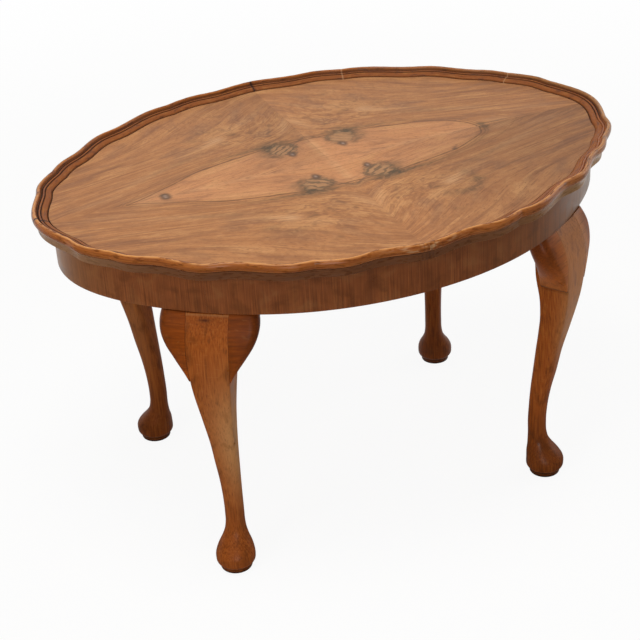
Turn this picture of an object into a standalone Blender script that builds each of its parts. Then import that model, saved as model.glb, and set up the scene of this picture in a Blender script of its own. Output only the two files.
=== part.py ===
"""Oval coffee table with a piecrust rim, a quarter-matched veneered top and four cabriole legs.

Metres, +Z up. The origin lies on the floor under the middle of the top, +X along the long axis.
"""
import math

import bmesh
import bpy
import numpy as np
from mathutils import Matrix, Vector

# Overall sizes
TABLE_HEIGHT = 0.460
TOP_HALF_LENGTH = 0.3726
TOP_HALF_WIDTH = 0.2742
END_FULLNESS = 0.0055
SHOULDER_FULLNESS = 0.0015

# Clearance between pieces that are glued or screwed together
GLUE_LINE = 0.0003

# Piecrust rim
LIP_OUTER_REACH = 0.0038
LIP_INNER_REACH = 0.0026
LIP_WAIST_DROP = 0.0055
BEAD_UNDERSIDE = 0.0060
COVE_HEIGHT = 0.0115
COVE_DEPTH = 0.0016
LIP_GROOVE_DROP = 0.0046
LIP_GROOVE_WIDTH = 0.0023
LIP_GROOVE_DEPTH = 0.0008
RIDGE_WIDTH = 0.0023
RIDGE_FALL = 0.0004
BAND_GROOVE_WIDTH = 0.0013
BAND_GROOVE_DEPTH = 0.0008
BAND_WIDTH = 0.0062
BAND_FALL = 0.0029
FIELD_GROOVE_WIDTH = 0.0018
FIELD_GROOVE_DEPTH = 0.0012
SCALLOP_DEPTH = 0.0024
# Turning points of the scallops in a quarter: ellipse angle in degrees, share of the depth, sharp or not
SCALLOPS = (
    (0.0, 0.8, False),
    (13.5, -1.0, False),
    (20.0, 0.85, False),
    (27.5, -0.3, True),
    (32.0, 0.45, False),
    (39.0, -1.05, False),
    (48.0, 1.0, False),
    (55.0, -1.0, False),
    (65.0, 1.0, False),
    (69.5, -0.2, True),
    (75.0, 0.85, False),
    (81.5, -1.15, False),
    (90.0, 0.9, False),
)
SCALLOP_STEP_DEGREES = 4.0

# Top panel and apron
VENEER_THICKNESS = 0.0010
APRON_INSET = 0.0185
APRON_HEIGHT = 0.0534
APRON_THICKNESS = 0.018
FACING_THICKNESS = 0.0010
APRON_STEP_DEGREES = 3.0

# Cabriole legs: where they stand, and the turned pad foot
LEG_ANGLE = 47.7
FOOT_INSET = 0.0205
FOOT_HEIGHT = 0.060
FOOT_RADIUS = 0.0253
SHOE_RADIUS = 0.0203
SHOE_HEIGHT = 0.008
SHOE_ROUNDING = 0.0010
ANKLE_RADIUS = 0.0122
ANKLE_SET_BACK = 0.0128
KNEE_WIDTH = 0.0514
KNEE_DEPTH = 0.0385
# Stations up the carved leg: share of the height from foot to knee top, front line and back line from the
# foot's middle as shares of the knee's depth, width as a share of the way from ankle to knee, squareness
LEG_STATIONS = (
    (0.047, -0.018, -0.649, 0.00, 2.1),
    (0.124, 0.008, -0.616, 0.00, 2.3),
    (0.223, 0.130, -0.545, 0.06, 2.6),
    (0.309, 0.291, -0.452, 0.15, 3.0),
    (0.418, 0.457, -0.327, 0.27, 3.6),
    (0.507, 0.639, -0.208, 0.42, 4.6),
    (0.594, 0.805, -0.109, 0.59, 6.0),
    (0.681, 0.935, -0.088, 0.77, 8.0),
    (0.774, 0.992, -0.182, 0.94, 12.0),
    (0.882, 0.945, -0.255, 1.00, 14.0),
    (0.947, 0.779, -0.403, 1.00, 14.0),
)
KNEE_SQUARENESS = 14.0
# Rings of the pad foot: share of the height above the shoe, share of the ankle's set-back, share of
# the swell
FOOT_RINGS = (
    (0.05, 0.0, 0.94),
    (0.25, 0.0, 1.0),
    (0.46, 0.22, 0.81),
    (0.62, 0.47, 0.52),
    (0.79, 0.74, 0.25),
    (1.00, 0.93, 0.05),
)
LEG_RING_POINTS = 20

# Ears beside each knee
EAR_REACH = 0.034
EAR_HEIGHT = 0.084
EAR_TIP_WIDTH = 0.0030
EAR_SET_BACK = 0.0006
EAR_BACK_MARGIN = 0.0060
EAR_CREST_SHARE = 0.82
EAR_HOLLOW = 1.35
EAR_FACE_SHARES = (0.0, 0.5, 0.88)
EAR_EDGE_ROUNDING = 0.003
EAR_BACK_TURNS = (0.0, 30.0, 60.0)
EAR_LEVELS = 9

# Blocks, dowels and screws inside the apron
CORNER_BLOCK_HALF_LENGTH = 0.060
CORNER_BLOCK_OVERHANG = 0.0175
GLUE_BLOCK_HALF_LENGTH = 0.035
GLUE_BLOCK_SIZE = 0.022
DOWEL_RADIUS = 0.004
DOWEL_LENGTH = 0.050
DOWEL_SIDE_MARGIN = 0.0127
DOWEL_FACE_MARGIN = 0.0020
SCREW_LENGTH = 0.048
SCREW_RADIUS = 0.0021
SCREW_HEAD_RADIUS = 0.0042
SCREW_HEAD_HEIGHT = 0.0028
SCREW_COVER = 0.0032
SCREW_END_MARGIN = 0.018

# Fineness of the facets
ROUND_SIDES = 12
BEAD_STEPS = 2
CREST_STEPS = 3
BLOCK_FACE_STEPS = 5
SMOOTH_DEGREES = 40.0
PROBE_DEGREES = 0.05

# Sizes worked out from those above
BEAD_HEIGHT = LIP_WAIST_DROP + BEAD_UNDERSIDE
RIM_HEIGHT = BEAD_HEIGHT + COVE_HEIGHT
FIELD_DROP = LIP_GROOVE_DROP + 2 * RIDGE_FALL + BAND_FALL + FIELD_GROOVE_DEPTH
RIDGES_WIDTH = LIP_GROOVE_WIDTH + RIDGE_WIDTH + BAND_GROOVE_WIDTH
RIM_INNER_REACH = LIP_INNER_REACH + RIDGES_WIDTH + BAND_WIDTH + FIELD_GROOVE_WIDTH
RIM_BOTTOM = TABLE_HEIGHT - RIM_HEIGHT
FIELD_HEIGHT = TABLE_HEIGHT - FIELD_DROP
PANEL_TOP = FIELD_HEIGHT - VENEER_THICKNESS - GLUE_LINE
APRON_TOP = RIM_BOTTOM - GLUE_LINE
APRON_BOTTOM = APRON_TOP - APRON_HEIGHT
KNEE_TOP = APRON_BOTTOM - GLUE_LINE
APRON_CORE_INSET = APRON_INSET + FACING_THICKNESS + GLUE_LINE
APRON_BACK_INSET = APRON_CORE_INSET + APRON_THICKNESS
BLOCK_INSET = APRON_BACK_INSET + GLUE_LINE
BLOCK_FACE = FOOT_INSET - (BLOCK_INSET - APRON_INSET)
KNEE_BACK = FOOT_INSET - KNEE_DEPTH
CORNER_BLOCK_DEPTH = BLOCK_FACE - KNEE_BACK + CORNER_BLOCK_OVERHANG
SCREW_TIP = PANEL_TOP - SCREW_COVER
QUARTERS = ((1, 1), (-1, 1), (-1, -1), (1, -1))
QUARTER_NAMES = ("back_right", "back_left", "front_left", "front_right")
SIDE_NAMES = ("back", "left", "front", "right")


def clear_scene():
    """Removes what the scene holds."""
    for item in list(bpy.data.objects):
        bpy.data.objects.remove(item, do_unlink=True)


def material(name, colour, roughness, metallic=0.0):
    """One Principled material with a plain colour given as red, green, blue."""
    made = bpy.data.materials.new(name)
    made.use_nodes = True
    shader = made.node_tree.nodes["Principled BSDF"]
    shader.inputs["Base Color"].default_value = (*colour, 1.0)
    shader.inputs["Roughness"].default_value = roughness
    shader.inputs["Metallic"].default_value = metallic
    return made


def add_object(name, bm, finish, smooth=False):
    """Turns a closed bmesh into a named object with outward faces."""
    bmesh.ops.recalc_face_normals(bm, faces=bm.faces)
    mesh = bpy.data.meshes.new(name)
    bm.to_mesh(mesh)
    bm.free()
    if smooth:
        mesh.shade_smooth()
        mesh.set_sharp_from_angle(angle=math.radians(SMOOTH_DEGREES))
    mesh.materials.append(finish)
    made = bpy.data.objects.new(name, mesh)
    bpy.context.collection.objects.link(made)
    return made


def loft(rings):
    """Closed body through rings of equally many points, with a flat cap at either end."""
    bm = bmesh.new()
    rows = [[bm.verts.new(point) for point in ring] for ring in rings]
    count = len(rows[0])
    for lower, upper in zip(rows, rows[1:]):
        for i in range(count):
            j = (i + 1) % count
            bm.faces.new((lower[i], lower[j], upper[j], upper[i]))
    bm.faces.new(rows[0])
    bm.faces.new(rows[-1])
    return bm


def prism(plan, bottom, top):
    """Upright body over a plan outline."""
    return loft([[(x, y, z) for x, y in plan] for z in (bottom, top)])


def cylinder_rings(radii_and_heights, centre):
    """Rings of a round body that stands upright over a plan point."""
    turns = [2 * math.pi * i / ROUND_SIDES for i in range(ROUND_SIDES)]
    return [
        [(centre[0] + r * math.cos(a), centre[1] + r * math.sin(a), z) for a in turns]
        for r, z in radii_and_heights
    ]


def scallop(degrees):
    """Distance that the piecrust edge stands out from its smooth mean line."""
    folded = abs((degrees + 90.0) % 180.0 - 90.0)
    for (a0, s0, sharp0), (a1, s1, sharp1) in zip(SCALLOPS, SCALLOPS[1:]):
        if a0 <= folded <= a1:
            u = (folded - a0) / (a1 - a0)
            if sharp0:
                share = math.sin(u * math.pi / 2)
            elif sharp1:
                share = 1.0 - math.cos(u * math.pi / 2)
            else:
                share = 0.5 - 0.5 * math.cos(u * math.pi)
            return SCALLOP_DEPTH * (s0 + (s1 - s0) * share)
    raise ValueError("angle outside the quarter")


def plan_normal(degrees):
    """Outward direction of the base ellipse at an ellipse angle."""
    t = math.radians(degrees)
    normal = Vector((TOP_HALF_WIDTH * math.cos(t), TOP_HALF_LENGTH * math.sin(t)))
    return normal.normalized()


def mean_line(degrees, inset=0.0):
    """Point of the top's smooth outline, moved in by an inset."""
    t = math.radians(degrees)
    base = Vector((TOP_HALF_LENGTH * math.cos(t), TOP_HALF_WIDTH * math.sin(t)))
    swell = END_FULLNESS * math.cos(4 * t) + SHOULDER_FULLNESS * math.cos(6 * t)
    return base + plan_normal(degrees) * (swell - inset)


def crest_line(degrees, offset=0.0):
    """Point of the scalloped crest, moved out by an offset."""
    return mean_line(degrees) + plan_normal(degrees) * (scallop(degrees) + offset)


def angles_across(start, end):
    """Ellipse angles from one end of an apron piece to the other, at even steps."""
    count = max(2, math.ceil((end - start) / APRON_STEP_DEGREES))
    return [start + (end - start) * i / count for i in range(count + 1)]


def run_per_degree(degrees, inset=0.0):
    """Length of the mean line, moved in by an inset, for one degree of ellipse angle."""
    ahead = mean_line(degrees + PROBE_DEGREES, inset)
    behind = mean_line(degrees - PROBE_DEGREES, inset)
    return (ahead - behind).length / (2 * PROBE_DEGREES)


def gap_angle(degrees):
    """Half a glue line at this place, as an ellipse angle."""
    return 0.5 * GLUE_LINE / run_per_degree(degrees)


def scallop_angles(quarter):
    """Ellipse angles of the rim's stations in one quarter, clear of its neighbours at both ends."""
    inside = []
    for (a0, _, _), (a1, _, _) in zip(SCALLOPS, SCALLOPS[1:]):
        steps = max(2, math.ceil((a1 - a0) / SCALLOP_STEP_DEGREES))
        inside += [a0 + (a1 - a0) * i / steps for i in range(steps)]
    inside.append(SCALLOPS[-1][0])
    if quarter % 2:
        inside = [90.0 - angle for angle in reversed(inside)]
    angles = [90.0 * quarter + angle for angle in inside]
    angles[0] += gap_angle(angles[0])
    angles[-1] -= gap_angle(angles[-1])
    return angles


def quarter_arc(start, end, centre, steps):
    """Points of a quarter ellipse from start to end about a centre, without the first point."""
    points = []
    for i in range(1, steps + 1):
        turn = 0.5 * math.pi * i / steps
        points.append((
            centre[0] + (start[0] - centre[0]) * math.cos(turn) + (end[0] - centre[0]) * math.sin(turn),
            centre[1] + (start[1] - centre[1]) * math.cos(turn) + (end[1] - centre[1]) * math.sin(turn),
        ))
    return points


def rim_section():
    """Outline of the moulding: distance out from the crest, height from the crest, bottom corner first."""
    waist = (LIP_OUTER_REACH, -LIP_WAIST_DROP)
    under_bead = (0.0, -BEAD_HEIGHT)
    crest = (0.0, 0.0)
    groove = (-LIP_INNER_REACH, -LIP_GROOVE_DROP)
    ridge = (groove[0] - LIP_GROOVE_WIDTH, groove[1])
    band_groove = (ridge[0] - RIDGE_WIDTH, ridge[1] - RIDGE_FALL)
    band = (band_groove[0] - BAND_GROOVE_WIDTH, band_groove[1] - RIDGE_FALL)
    points = [(-RIM_INNER_REACH, -RIM_HEIGHT), (-COVE_DEPTH, -RIM_HEIGHT)]
    points += quarter_arc(points[-1], under_bead, (-COVE_DEPTH, -BEAD_HEIGHT), BEAD_STEPS)
    points += quarter_arc(under_bead, waist, (0.0, -LIP_WAIST_DROP), BEAD_STEPS)
    points += quarter_arc(waist, crest, (0.0, -LIP_WAIST_DROP), CREST_STEPS)
    points += quarter_arc(crest, groove, (0.0, groove[1]), CREST_STEPS)
    points += [
        (0.5 * (groove[0] + ridge[0]), groove[1] - LIP_GROOVE_DEPTH),
        ridge,
        band_groove,
        (0.5 * (band_groove[0] + band[0]), band_groove[1] - BAND_GROOVE_DEPTH),
        band,
        (FIELD_GROOVE_WIDTH - RIM_INNER_REACH, FIELD_GROOVE_DEPTH - FIELD_DROP),
        (-RIM_INNER_REACH, -FIELD_DROP),
    ]
    return points


def rim_piece(quarter, finish):
    """One quarter of the piecrust moulding."""
    section = rim_section()
    rings = []
    for angle in scallop_angles(quarter):
        rings.append([(*crest_line(angle, out), TABLE_HEIGHT + up) for out, up in section])
    return add_object("rim_" + QUARTER_NAMES[quarter], loft(rings), finish, True)


def field_edge(quarter, clearance):
    """Plan of the rim's inner edge in one quarter, moved in by a clearance."""
    return [crest_line(angle, -RIM_INNER_REACH - clearance) for angle in scallop_angles(quarter)]


def top_panel(finish):
    """Core of the top, inside the rim and under the veneer."""
    plan = []
    for quarter in range(4):
        plan += [tuple(point) for point in field_edge(quarter, GLUE_LINE)]
    return add_object("top_core", prism(plan, RIM_BOTTOM, PANEL_TOP), finish)


def veneer_leaf(quarter, finish):
    """One leaf of the quarter-matched veneer."""
    half_gap = 0.5 * GLUE_LINE
    sx, sy = QUARTERS[quarter]
    plan = [(sx * half_gap, sy * half_gap)]
    for x, y in field_edge(quarter, GLUE_LINE):
        plan.append((sx * max(sx * x, half_gap), sy * max(sy * y, half_gap)))
    bm = prism(plan, FIELD_HEIGHT - VENEER_THICKNESS, FIELD_HEIGHT)
    return add_object("veneer_" + QUARTER_NAMES[quarter], bm, finish)


def leg_angles():
    """Ellipse angles at which the four legs stand, going round from the back right one."""
    return [LEG_ANGLE, 180.0 - LEG_ANGLE, 180.0 + LEG_ANGLE, 360.0 - LEG_ANGLE]


def curved_wall(name, start, end, insets, heights, finish):
    """Upright wall between two insets of the mean line, from one ellipse angle to another."""
    outer, inner = insets
    bottom, top = heights
    rings = []
    for angle in angles_across(start + gap_angle(start), end - gap_angle(end)):
        out_point = mean_line(angle, outer)
        in_point = mean_line(angle, inner)
        rings.append([(*out_point, bottom), (*out_point, top), (*in_point, top), (*in_point, bottom)])
    return add_object(name, loft(rings), finish)


def apron(core_finish, facing_finish):
    """Four bent apron pieces that meet at the legs, each with its cross-grained facing."""
    stands = leg_angles()
    for side, name in enumerate(SIDE_NAMES):
        start = stands[side]
        end = stands[(side + 1) % 4] + (360.0 if side == 3 else 0.0)
        heights = (APRON_BOTTOM, APRON_TOP)
        core_insets = (APRON_CORE_INSET, APRON_BACK_INSET)
        facing_insets = (APRON_INSET, APRON_INSET + FACING_THICKNESS)
        curved_wall("apron_" + name, start, end, core_insets, heights, core_finish)
        curved_wall("facing_" + name, start, end, facing_insets, heights, facing_finish)


def leg_frame(degrees):
    """Placing of a leg: origin under the foot's middle, local +X facing out of the apron."""
    normal = plan_normal(degrees)
    foot = mean_line(degrees, APRON_INSET + FOOT_INSET)
    turn = math.atan2(normal.y, normal.x)
    return Matrix.Translation((foot.x, foot.y, 0.0)) @ Matrix.Rotation(turn, 4, "Z")


def rounded_ring(front, back, half_width, squareness, height):
    """Ring of a leg section: a rounded square between a front and a back line."""
    middle = 0.5 * (front + back)
    half_depth = 0.5 * (front - back)
    ring = []
    for i in range(LEG_RING_POINTS):
        turn = 2 * math.pi * (i + 0.5) / LEG_RING_POINTS
        c, s = math.cos(turn), math.sin(turn)
        x = math.copysign(abs(c) ** (2 / squareness), c)
        y = math.copysign(abs(s) ** (2 / squareness), s)
        ring.append((middle + half_depth * x, half_width * y, height))
    return ring


def leg_stations():
    """Height, front, back, half width and squareness of every section from the shoe to the knee top."""
    swell = FOOT_RADIUS - ANKLE_RADIUS
    stations = [
        (0.0, SHOE_RADIUS - SHOE_ROUNDING, SHOE_ROUNDING - SHOE_RADIUS, SHOE_RADIUS - SHOE_ROUNDING, 2.0),
        (SHOE_ROUNDING, SHOE_RADIUS, -SHOE_RADIUS, SHOE_RADIUS, 2.0),
        (SHOE_HEIGHT, SHOE_RADIUS, -SHOE_RADIUS, SHOE_RADIUS, 2.0),
    ]
    for height_share, back_share, swell_share in FOOT_RINGS:
        height = SHOE_HEIGHT + (FOOT_HEIGHT - SHOE_HEIGHT) * height_share
        radius = ANKLE_RADIUS + swell * swell_share
        middle = -ANKLE_SET_BACK * back_share
        stations.append((height, middle + radius, middle - radius, radius, 2.0))
    for share, front, back, width_share, squareness in LEG_STATIONS:
        height = FOOT_HEIGHT + share * (KNEE_TOP - FOOT_HEIGHT)
        half_width = ANKLE_RADIUS + (0.5 * KNEE_WIDTH - ANKLE_RADIUS) * width_share
        stations.append((height, front * KNEE_DEPTH, back * KNEE_DEPTH, half_width, squareness))
    stations.append((KNEE_TOP, FOOT_INSET, KNEE_BACK, 0.5 * KNEE_WIDTH, KNEE_SQUARENESS))
    return stations


def leg_line(column, height):
    """Front line, back line or half width of the leg at a height."""
    stations = leg_stations()
    return float(np.interp(height, [s[0] for s in stations], [s[column] for s in stations]))


def leg(name, frame, finish):
    """One cabriole leg with its knee post and pad foot."""
    rings = [rounded_ring(front, back, half, square, z) for z, front, back, half, square in leg_stations()]
    made = add_object(name, loft(rings), finish, True)
    made.matrix_world = frame
    return made


def apron_bend():
    """Radius of the apron's face where a leg stands."""
    t = math.radians(LEG_ANGLE)
    a = TOP_HALF_LENGTH - APRON_INSET
    b = TOP_HALF_WIDTH - APRON_INSET
    return ((a * math.sin(t)) ** 2 + (b * math.cos(t)) ** 2) ** 1.5 / (a * b)


def ear(name, frame, side, finish):
    """Carved ear glued to one side of a knee, under the apron: a bent face, then a curve to its back."""
    bend = apron_bend()
    rings = []
    for level in range(EAR_LEVELS):
        u = level / (EAR_LEVELS - 1)
        height = KNEE_TOP - EAR_HEIGHT * (1.0 - u)
        inner = leg_line(3, height) + GLUE_LINE
        fullness = math.sin(0.5 * math.pi * u / EAR_CREST_SHARE) ** EAR_HOLLOW
        reach = EAR_TIP_WIDTH + (EAR_REACH - EAR_TIP_WIDTH) * fullness
        front = leg_line(1, height) - EAR_SET_BACK
        back = leg_line(2, height) + EAR_BACK_MARGIN
        ring = []
        for share in EAR_FACE_SHARES:
            across = inner + reach * share
            ring.append((front - (across ** 2 - inner ** 2) / (2 * bend), side * across, height))
        edge = ring[-1][0] - EAR_EDGE_ROUNDING
        for degrees in EAR_BACK_TURNS:
            turn = math.radians(degrees)
            across = inner + reach * math.cos(turn)
            ring.append((edge - (edge - back) * math.sin(turn), side * across, height))
        ring.append((back, side * inner, height))
        rings.append(ring)
    made = add_object(name, loft(rings), finish, True)
    made.matrix_world = frame
    return made


def block_plan(degrees, half_length, depth):
    """Plan of a block behind the apron: its face follows the apron, its back is straight."""
    spread = half_length / run_per_degree(degrees, BLOCK_INSET)
    shares = [2 * i / BLOCK_FACE_STEPS - 1 for i in range(BLOCK_FACE_STEPS + 1)]
    face = [mean_line(degrees + spread * share, BLOCK_INSET) for share in shares]
    inward = -plan_normal(degrees)
    middle = mean_line(degrees, BLOCK_INSET)
    along = Vector((inward.y, -inward.x))
    back = [middle + inward * depth + along * half_length * sign for sign in (-1, 1)]
    if (back[0] - face[-1]).length > (back[1] - face[-1]).length:
        back.reverse()
    return [tuple(point) for point in face + back]


def cutter(name, rings_list):
    """Hidden bodies that cut holes into their neighbours."""
    bm = bmesh.new()
    for rings in rings_list:
        part = loft(rings)
        mesh = bpy.data.meshes.new("hole")
        bmesh.ops.recalc_face_normals(part, faces=part.faces)
        part.to_mesh(mesh)
        part.free()
        bm.from_mesh(mesh)
        bpy.data.meshes.remove(mesh)
    made = add_object(name, bm, bpy.data.materials[0])
    made.hide_render = True
    made.display_type = "WIRE"
    return made


def cut(target, tool):
    """Cuts a hidden body out of a piece."""
    boolean = target.modifiers.new("holes", "BOOLEAN")
    boolean.operation = "DIFFERENCE"
    boolean.solver = "EXACT"
    boolean.object = tool


def dowel_rings(centre, clearance):
    """Rings of a dowel, half in the leg and half in the corner block, grown by a clearance."""
    reach = 0.5 * DOWEL_LENGTH + clearance
    seam = 0.5 * (KNEE_TOP + APRON_BOTTOM)
    radius = DOWEL_RADIUS + clearance
    return cylinder_rings([(radius, seam - reach), (radius, seam + reach)], centre)


def screw_rings(centre, clearance):
    """Rings of a countersunk screw that reaches up through a block into the top, grown by a clearance."""
    tip = SCREW_TIP + clearance
    head = SCREW_TIP - SCREW_LENGTH - clearance
    shank = SCREW_RADIUS + clearance
    wide = SCREW_HEAD_RADIUS + clearance
    rings = [(wide, head), (shank, head + SCREW_HEAD_HEIGHT + clearance), (shank, tip)]
    if clearance:
        rings.insert(0, (wide, APRON_BOTTOM - RIM_HEIGHT))
    return cylinder_rings(rings, centre)


def corner(index, degrees, top_core, finishes):
    """Leg, ears, corner block, dowels and screws at one place on the apron."""
    name = QUARTER_NAMES[index]
    frame = leg_frame(degrees)
    leg_piece = leg("leg_" + name, frame, finishes["leg"])
    for side, word in ((1, "a"), (-1, "b")):
        ear("ear_" + name + "_" + word, frame, side, finishes["ear"])
    plan = block_plan(degrees, CORNER_BLOCK_HALF_LENGTH, CORNER_BLOCK_DEPTH)
    block = add_object("corner_block_" + name, prism(plan, APRON_BOTTOM, APRON_TOP), finishes["block"])
    dowel_side = 0.5 * KNEE_WIDTH - DOWEL_SIDE_MARGIN
    screw_side = CORNER_BLOCK_HALF_LENGTH - SCREW_END_MARGIN
    dowel_in = BLOCK_FACE - DOWEL_FACE_MARGIN - GLUE_LINE - DOWEL_RADIUS
    screw_in = BLOCK_FACE - 0.5 * CORNER_BLOCK_DEPTH
    dowels = [frame @ Vector((dowel_in, side * dowel_side, 0)) for side in (1, -1)]
    screws = [frame @ Vector((screw_in, side * screw_side, 0)) for side in (1, -1)]
    dowel_holes = cutter("dowel_holes_" + name, [dowel_rings(place, GLUE_LINE) for place in dowels])
    screw_holes = cutter("screw_holes_" + name, [screw_rings(place, GLUE_LINE) for place in screws])
    cut(leg_piece, dowel_holes)
    cut(block, dowel_holes)
    cut(block, screw_holes)
    cut(top_core, screw_holes)
    for word, dowel_place, screw_place in zip("ab", dowels, screws):
        ending = name + "_" + word
        add_object("dowel_" + ending, loft(dowel_rings(dowel_place, 0.0)), finishes["dowel"], True)
        add_object("screw_" + ending, loft(screw_rings(screw_place, 0.0)), finishes["screw"], True)


def build():
    """Makes the whole table."""
    clear_scene()
    finishes = {
        "panel": material("panel_core", (0.42, 0.28, 0.16), 0.75),
        "rim": material("walnut_rim", (0.33, 0.15, 0.06), 0.38),
        "veneer": material("walnut_veneer", (0.42, 0.21, 0.10), 0.36),
        "facing": material("walnut_facing", (0.18, 0.075, 0.03), 0.42),
        "leg": material("walnut_leg", (0.24, 0.10, 0.035), 0.40),
        "ear": material("walnut_ear", (0.20, 0.075, 0.025), 0.40),
        "block": material("pine_block", (0.55, 0.38, 0.20), 0.80),
        "dowel": material("beech_dowel", (0.60, 0.42, 0.25), 0.70),
        "screw": material("steel_screw", (0.45, 0.44, 0.42), 0.35, 1.0),
    }
    top_core = top_panel(finishes["panel"])
    for quarter in range(4):
        veneer_leaf(quarter, finishes["veneer"])
        rim_piece(quarter, finishes["rim"])
    apron(finishes["panel"], finishes["facing"])
    for index, degrees in enumerate(leg_angles()):
        corner(index, degrees, top_core, finishes)
    for index, name in enumerate(SIDE_NAMES):
        plan = block_plan(90.0 * (index + 1), GLUE_BLOCK_HALF_LENGTH, GLUE_BLOCK_SIZE)
        bm = prism(plan, APRON_TOP - GLUE_BLOCK_SIZE, APRON_TOP)
        add_object("glue_block_" + name, bm, finishes["block"])


build()
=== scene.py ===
# %% [markdown]
# # An oval coffee table with a piecrust rim
#
# The table is a low oval one in walnut: a moulded rim with a scalloped edge runs round a field of
# figured veneer, a plain curved apron hangs under it, and four cabriole legs end in round pad feet.
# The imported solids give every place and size. Each cell below dresses one kind of piece: first its
# shape, as a surface worked out with numpy, and then its finish, as a tree of shader nodes.

# %% Load the frame
import math

import bmesh
import bpy
import numpy as np
from mathutils import Matrix, Vector


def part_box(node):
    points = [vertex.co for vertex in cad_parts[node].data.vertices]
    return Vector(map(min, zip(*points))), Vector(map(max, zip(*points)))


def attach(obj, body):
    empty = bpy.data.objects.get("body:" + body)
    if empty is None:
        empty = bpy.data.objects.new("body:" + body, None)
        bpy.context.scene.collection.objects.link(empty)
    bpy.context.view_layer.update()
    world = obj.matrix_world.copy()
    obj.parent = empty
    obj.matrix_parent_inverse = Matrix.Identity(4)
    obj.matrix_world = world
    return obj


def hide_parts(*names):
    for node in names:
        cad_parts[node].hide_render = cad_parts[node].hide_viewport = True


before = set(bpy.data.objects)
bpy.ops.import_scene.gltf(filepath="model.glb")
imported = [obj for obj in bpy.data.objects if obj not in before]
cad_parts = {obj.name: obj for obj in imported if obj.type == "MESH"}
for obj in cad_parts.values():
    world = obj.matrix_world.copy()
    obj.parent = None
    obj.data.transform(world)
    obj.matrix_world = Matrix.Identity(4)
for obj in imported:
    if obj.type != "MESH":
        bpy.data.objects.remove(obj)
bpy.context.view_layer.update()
MM = 0.001
print("nodes in the frame:", len(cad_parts))

# %% [markdown]
# ## Camera
#
# The photographer stood a little to the left of the table's front, looked down by about thirty
# degrees and held the camera slightly askew. A camera can be set by eye, or worked out from its turn,
# rise and roll about the point it aims at. The second way is chosen, because each number then says
# something about where the photographer stood.

# %% Camera
IMAGE_PIXELS = 640
FOCAL_PIXELS = 1574.2284
SENSOR_WIDTH = 36.0
CAMERA_TURN = math.radians(-21.5212)
CAMERA_RISE = math.radians(30.1022)
CAMERA_ROLL = math.radians(-3.4231)
CAMERA_DISTANCE = 2.0513
CAMERA_AIM = Vector((-0.0443, -0.0458, 0.25))

toward = Vector((
    math.sin(CAMERA_TURN) * math.cos(CAMERA_RISE),
    -math.cos(CAMERA_TURN) * math.cos(CAMERA_RISE),
    math.sin(CAMERA_RISE),
))
level_right = Vector((math.cos(CAMERA_TURN), math.sin(CAMERA_TURN), 0.0))
level_up = toward.cross(level_right)
right = level_right * math.cos(CAMERA_ROLL) + level_up * math.sin(CAMERA_ROLL)
up = level_up * math.cos(CAMERA_ROLL) - level_right * math.sin(CAMERA_ROLL)
lens = bpy.data.cameras.new("camera")
lens.sensor_width = SENSOR_WIDTH
lens.lens = SENSOR_WIDTH * FOCAL_PIXELS / IMAGE_PIXELS
camera = bpy.data.objects.new("camera", lens)
bpy.context.scene.collection.objects.link(camera)
camera.matrix_world = Matrix((right, up, toward)).transposed().to_4x4()
camera.location = CAMERA_AIM + toward * CAMERA_DISTANCE
bpy.context.scene.camera = camera
bpy.context.scene.view_settings.view_transform = "Standard"
print("lens in mm:", round(lens.lens, 2))

# %% [markdown]
# ## Nodes and colours
#
# Every finish below is a tree of shader nodes. One small function adds a node, sets its properties and
# fills its sockets, either with a value or with a link from another node. Colours are written as the
# hex values that a picture editor shows, so one function turns them into the linear light that the
# renderer counts in. Wood needs a few things over and over: noise drawn out along the grain, colours
# laid over one another as a polisher lays stain, and a polish that is glossier here and duller there.

# %% Nodes and colours
# Between these values of a noise, a polish goes from its glossiest to its dullest.
PATCH_LOW, PATCH_HIGH = 0.3, 0.7
GRAIN_STRENGTH = 0.5


def linear(hex_colour):
    """Red, green, blue and alpha in linear light, from an sRGB hex value."""
    coded = np.array([int(hex_colour[i:i + 2], 16) for i in (1, 3, 5)]) / 255
    straight = np.where(coded <= 0.04045, coded / 12.92, ((coded + 0.055) / 1.055) ** 2.4)
    return (*straight.tolist(), 1.0)


def add_node(tree, kind, inputs=None, stops=(), **settings):
    """One shader node with its settings, inputs (values or links) and ramp stops; gives its outputs."""
    made = tree.nodes.new("ShaderNode" + kind)
    for key, value in settings.items():
        setattr(made, key, value)
    for key, value in (inputs or {}).items():
        if isinstance(value, bpy.types.NodeSocket):
            tree.links.new(value, made.inputs[key])
        else:
            made.inputs[key].default_value = value
    for number, (place, colour) in enumerate(stops):
        elements = made.color_ramp.elements
        stop = elements[number] if number < len(elements) else elements.new(place)
        stop.position = place
        stop.color = linear(colour)
    return made.outputs


def start_material(name, specular):
    """A new material with one Principled shader, its tree and that shader."""
    made = bpy.data.materials.new(name)
    made.use_nodes = True
    shader = made.node_tree.nodes["Principled BSDF"]
    shader.inputs["Specular IOR Level"].default_value = specular
    return made, made.node_tree, shader


def streaks(tree, coordinates, sizes, detail=3.0, distortion=0.0):
    """Noise whose blots have the given sizes in metres along the three coordinates."""
    scale = tuple(1.0 / size for size in sizes)
    place = add_node(tree, "Mapping", {"Vector": coordinates, "Scale": scale})[0]
    noise = {"Vector": place, "Scale": 1.0, "Detail": detail, "Distortion": distortion}
    return add_node(tree, "TexNoise", noise)["Fac"]


def lay_over(tree, ground, layers):
    """Lays colours over a ground, each where a number goes from low to high, up to a most, under masks."""
    for value, low, high, most, colour, *masks in layers:
        span = {0: value, 1: low, 2: high, 4: most}
        share = add_node(tree, "MapRange", span, interpolation_type="SMOOTHSTEP")[0]
        for mask in masks:
            share = add_node(tree, "Math", {0: share, 1: mask}, operation="MULTIPLY")[0]
        ground = add_node(tree, "Mix", {0: share, 6: ground, 7: linear(colour)}, data_type="RGBA")[2]
    return ground


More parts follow.
